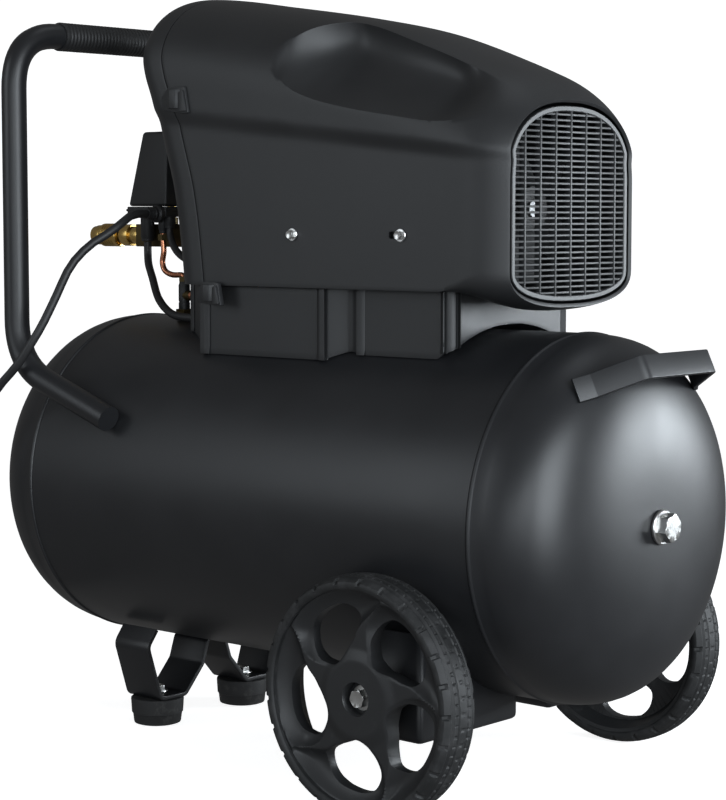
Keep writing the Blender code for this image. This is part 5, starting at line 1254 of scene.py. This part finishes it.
stand("coupler_ring", spun(ring, at(-0.0660, 0, BAR_Z), at(1, 0, BAR_Z), 72, ring=True), brass, "sleeve",
      ("coupler_sleeve",))

valve_foot = 0.3870
valve_line = [(0.0, 0.0), (0.0052, 0.0), (0.0055, 0.0005), (0.0055, 0.0160), (0.0051, 0.0164),
              (0.0051, 0.0176), (0.0055, 0.0180), (0.0055, 0.0330), (0.0050, 0.0340), (0.0045, 0.0368),
              (0.0, 0.0368)]
start = at(0.070, -0.022, valve_foot)
stand("check_valve_body", spun(valve_line, start, start + Vector((0, 0, 1)), 48), switch_black,
      stands_for=("check_valve",))
nut = hex_head(0.0090, 0.0080, at(0.070, -0.022, 0.3890), at(0.070, -0.022, 1), 0.2)
port = spun([(0.0, 0.0), (0.0050, 0.0), (0.0050, 0.0090), (0.0046, 0.0094), (0.0, 0.0094)],
            at(0.070, -0.022, 0.410), at(1, -0.022, 0.410), 40)
stand("check_valve_brass", merged(nut, port), dull_brass)

thin = [(0.070, 0.4243), (0.070, 0.4275), (0.066, 0.4295), (0.054, 0.4295), (0.044, 0.4330),
        (0.040, 0.4410), (0.042, 0.4520), (0.041, 0.4640), (0.041, 0.4690)]
cable("copper_line", smooth_line([at(x, -0.022, z) for x, z in thin], 0.0012), 0.0028, copper,
      stands_for=("unloader_tube",))
nuts = [hex_head(0.0052, 0.0060, at(0.041, -0.022, 0.4625), at(0.041, -0.022, 1), 0.1),
        hex_head(0.0056, 0.0050, at(0.070, -0.022, 0.4232), at(0.070, -0.022, 1), 0.3)]
stand("line_nuts", merged(*nuts), dull_brass)
wide_line = [(0.0798, 0.410), (0.135, 0.410), (0.160, 0.414), (0.172, 0.434), (0.172, 0.520),
             (0.170, 0.590), (0.174, 0.612), (0.1877, 0.6205), (0.1977, 0.6205)]
cable("pressure_pipe", smooth_line([at(x, -0.022, z) for x, z in wide_line], 0.004), 0.0045, copper,
      stands_for=("discharge_tube",))

# --------------------------------------------------------------------------------------------------------
# Cables under the switch: black rubber leads from its two glands. One runs down and through a grommet in
# the cowl to the motor, and a short one turns back under the hood.

motor_line = [(0.0150, -0.0180, 0.4610), (0.0153, -0.0182, 0.4490), (0.0215, -0.0230, 0.4390),
              (0.0350, -0.0310, 0.4270), (0.0540, -0.0400, 0.4060), (0.0800, -0.0470, 0.3930),
              (0.1070, -0.0480, 0.3905), (0.1290, -0.0480, 0.3905), (0.1400, -0.0480, 0.3905)]
cable("motor_lead", smooth_line([at(*p) for p in motor_line], 0.003), 0.0038, cord_rubber,
      stands_for=("motor_cable",))
short_line = [(0.046, -0.018, 0.4760), (0.047, -0.0185, 0.4680), (0.053, -0.020, 0.4580),
              (0.064, -0.023, 0.4500), (0.080, -0.026, 0.4440), (0.100, -0.028, 0.4420)]
cable("short_lead", smooth_line([at(*p) for p in short_line], 0.003), 0.0036, cord_rubber)

# --------------------------------------------------------------------------------------------------------
# Regulator and gauge: the regulator's turned brass body lies across the manifold, with a ribbed plastic
# knob on its end at the far side. The gauge is a black can with a white dial and stands up on a brass
# elbow, facing the handle.

knob_black = Finish("knob_black", "black_plastic")
knob_black.set(Base_Color=(0.014, 0.0145, 0.0155), Roughness=0.40 + knob_black.noise(1100, 2) * 0.14)
start = at(0.055, 0.0113, BAR_Z)
stand("regulator_body", spun([(0.0, 0.0), (0.0088, 0.0), (0.0088, 0.0040), (0.0105, 0.0046),
                              (0.0105, 0.0180), (0.0098, 0.0188), (0.0098, 0.0210), (0.0105, 0.0218),
                              (0.0105, 0.0290), (0.0100, 0.0298), (0.0, 0.0298)], start,
                             start + Vector((0, 1, 0)), 56), brass, stands_for=("regulator",))
lobes = [((0.0150 - (0.0009 if k % 4 in (0, 1) else 0.0)) * math.cos(math.tau * k / 96),
          (0.0150 - (0.0009 if k % 4 in (0, 1) else 0.0)) * math.sin(math.tau * k / 96)) for k in range(96)]
stand("regulator_knob_moulding", slab(lobes, 0.0, 0.0235, aligned(at(0.055, 0.0416, BAR_Z),
                                                                  at(0.055, 1, BAR_Z)), 0.0), knob_black,
      "regulator_setting", ("regulator_knob",))

GAUGE = (-0.0145, 0.036, 0.520)
back_of = at(GAUGE[0] + 0.014, GAUGE[1], GAUGE[2])
handleward = back_of - Vector((1, 0, 0))
can = spun([(0.0, 0.0), (0.0185, 0.0), (0.0193, 0.0008), (0.0195, 0.0020), (0.0195, 0.0132),
            (0.0191, 0.0139), (0.0176, 0.0140), (0.0170, 0.0134), (0.0170, 0.0100), (0.0, 0.0100)], back_of,
           handleward, 80)
stem = spun([(0.0, 0.0), (0.0045, 0.0), (0.0045, 0.0360), (0.0, 0.0360)], at(-0.0075, 0.036, 0.4680),
            at(-0.0075, 0.036, 1), 32)
stand("gauge_can", can, knob_black, stands_for=("pressure_gauge",))
elbow = slab([(-0.0120, 0.0113), (-0.0030, 0.0113), (-0.0030, 0.0410), (-0.0120, 0.0410)], 0.4620, 0.4720,
             flat_up, 0.0006, 2)
stand("gauge_stem", merged(stem, elbow), brass)
dial_white = Finish("dial_white", "black_plastic")
dial_white.set(Base_Color=(0.78, 0.78, 0.75), Roughness=0.42 + dial_white.noise(500, 2) * 0.08)
face_x = GAUGE[0] + 0.0040
dial_plane = Matrix(((0, 0, -1, SEAM_X + face_x), (0, -1, 0, GAUGE[1]), (-1, 0, 0, GAUGE[2]), (0, 0, 0, 1)))
rim = [(0.0168 * math.cos(math.tau * k / 72), 0.0168 * math.sin(math.tau * k / 72)) for k in range(72)]
stand("gauge_face", slab(rim, -0.0005, 0.0002, dial_plane), dial_white)
ticks = []
for k in range(28):
    angle = math.radians(45 + 10 * k)
    long = 0.0034 if k % 3 == 0 else 0.0020
    tick = Matrix.Rotation(angle, 4, "Z") @ Matrix.Translation((0.0150 - long / 2, 0, 0))
    ticks.append(slab([(-long / 2, -0.00018), (long / 2, -0.00018), (long / 2, 0.00018),
                       (-long / 2, 0.00018)], 0.0001, 0.0004, dial_plane @ tick))
stand("gauge_ticks", merged(*ticks), knob_black)
hub = spun([(0.0, 0.0), (0.0020, 0.0), (0.0022, 0.0004), (0.0020, 0.0014), (0.0, 0.0016)],
           at(face_x - 0.0003, *GAUGE[1:]), at(face_x - 1, *GAUGE[1:]), 32)
hand = Matrix.Rotation(math.radians(45), 4, "Z")
pointer = slab([(-0.0040, -0.0008), (0.0020, -0.0007), (0.0132, -0.0001), (0.0132, 0.0001), (0.0020, 0.0007),
                (-0.0040, 0.0008)], 0.0007, 0.0012, dial_plane @ hand)
stand("needle_hand", merged(hub, pointer), knob_red, "needle", ("gauge_needle",))

# --------------------------------------------------------------------------------------------------------
# Relief valve and drain: the turned brass valve is screwed in over the riser, with a zinc ring to pull.
# The brass drain cock is in the lowest place under the tank, with a tap that turns in its end.

start = at(0.088, 0, BAR_Z + 0.0113)
relief = spun([(0.0, 0.0), (0.0075, 0.0), (0.0075, 0.0205), (0.0068, 0.0216), (0.0030, 0.0220),
               (0.0, 0.0220)], start, start + Vector((0, 0, 1)), 48)
relief_hex = hex_head(0.0100, 0.0070, start + Vector((0, 0, 0.002)), start + Vector((0, 0, 1)), 0.2)
stand("relief_body", merged(relief, relief_hex), brass, stands_for=("safety_valve",))
start = start + Vector((0, 0, 0.0223))
pull = spun([(0.0, 0.0), (0.0024, 0.0), (0.0024, 0.0060), (0.0018, 0.0066), (0.0, 0.0066)], start,
            start + Vector((0, 0, 1)), 32)
hoop = spun([(0.009 + 0.0011 * math.cos(math.tau * k / 14), 0.0011 * math.sin(math.tau * k / 14))
             for k in range(14)], start + Vector((0, 0, 0.013)), start + Vector((1, 0, 0.013)), 64,
            ring=True)
stand("relief_pull_ring", merged(pull, hoop), zinc, "relief_ring", ("safety_ring",))

top = TANK_Z - TANK_RADIUS - 0.0003
start = at(0.350, 0, top)
down = start - Vector((0, 0, 1))
cock = hex_head(0.0085, 0.0140, start, down, 0.1)
cock_neck = spun([(0.0, 0.0), (0.0060, 0.0), (0.0060, 0.0200), (0.0, 0.0200)], start, down, 40)
spout = spun([(0.0, 0.0), (0.0035, 0.0), (0.0035, 0.0176), (0.0022, 0.0180), (0.0022, 0.0150), (0.0, 0.0150)],
             start - Vector((0, 0, 0.008)), start - Vector((1, 0, 0.008)), 32)
stand("drain_cock", merged(cock, cock_neck, spout), brass, stands_for=("drain_valve",))
start = at(0.350, 0, top - 0.0203)
drain_grip = spun([(0.0, 0.0), (0.0086, 0.0), (0.0090, 0.0004), (0.0090, 0.0074), (0.0084, 0.0080),
                   (0.0, 0.0080)], start, start - Vector((0, 0, 1)), 40)
drain_wing = slab(filleted([(-0.0130, -0.0019, 0.0018), (0.0130, -0.0019, 0.0018), (0.0130, 0.0019, 0.0018),
                            (-0.0130, 0.0019, 0.0018)], 4, True), 0.0040, 0.0138,
                  aligned(start, start - Vector((0, 0, 1))), 0.0006, 2)
stand("drain_tap_handle", merged(drain_grip, drain_wing), brass, "drain_tap", ("drain_knob",))

# --------------------------------------------------------------------------------------------------------
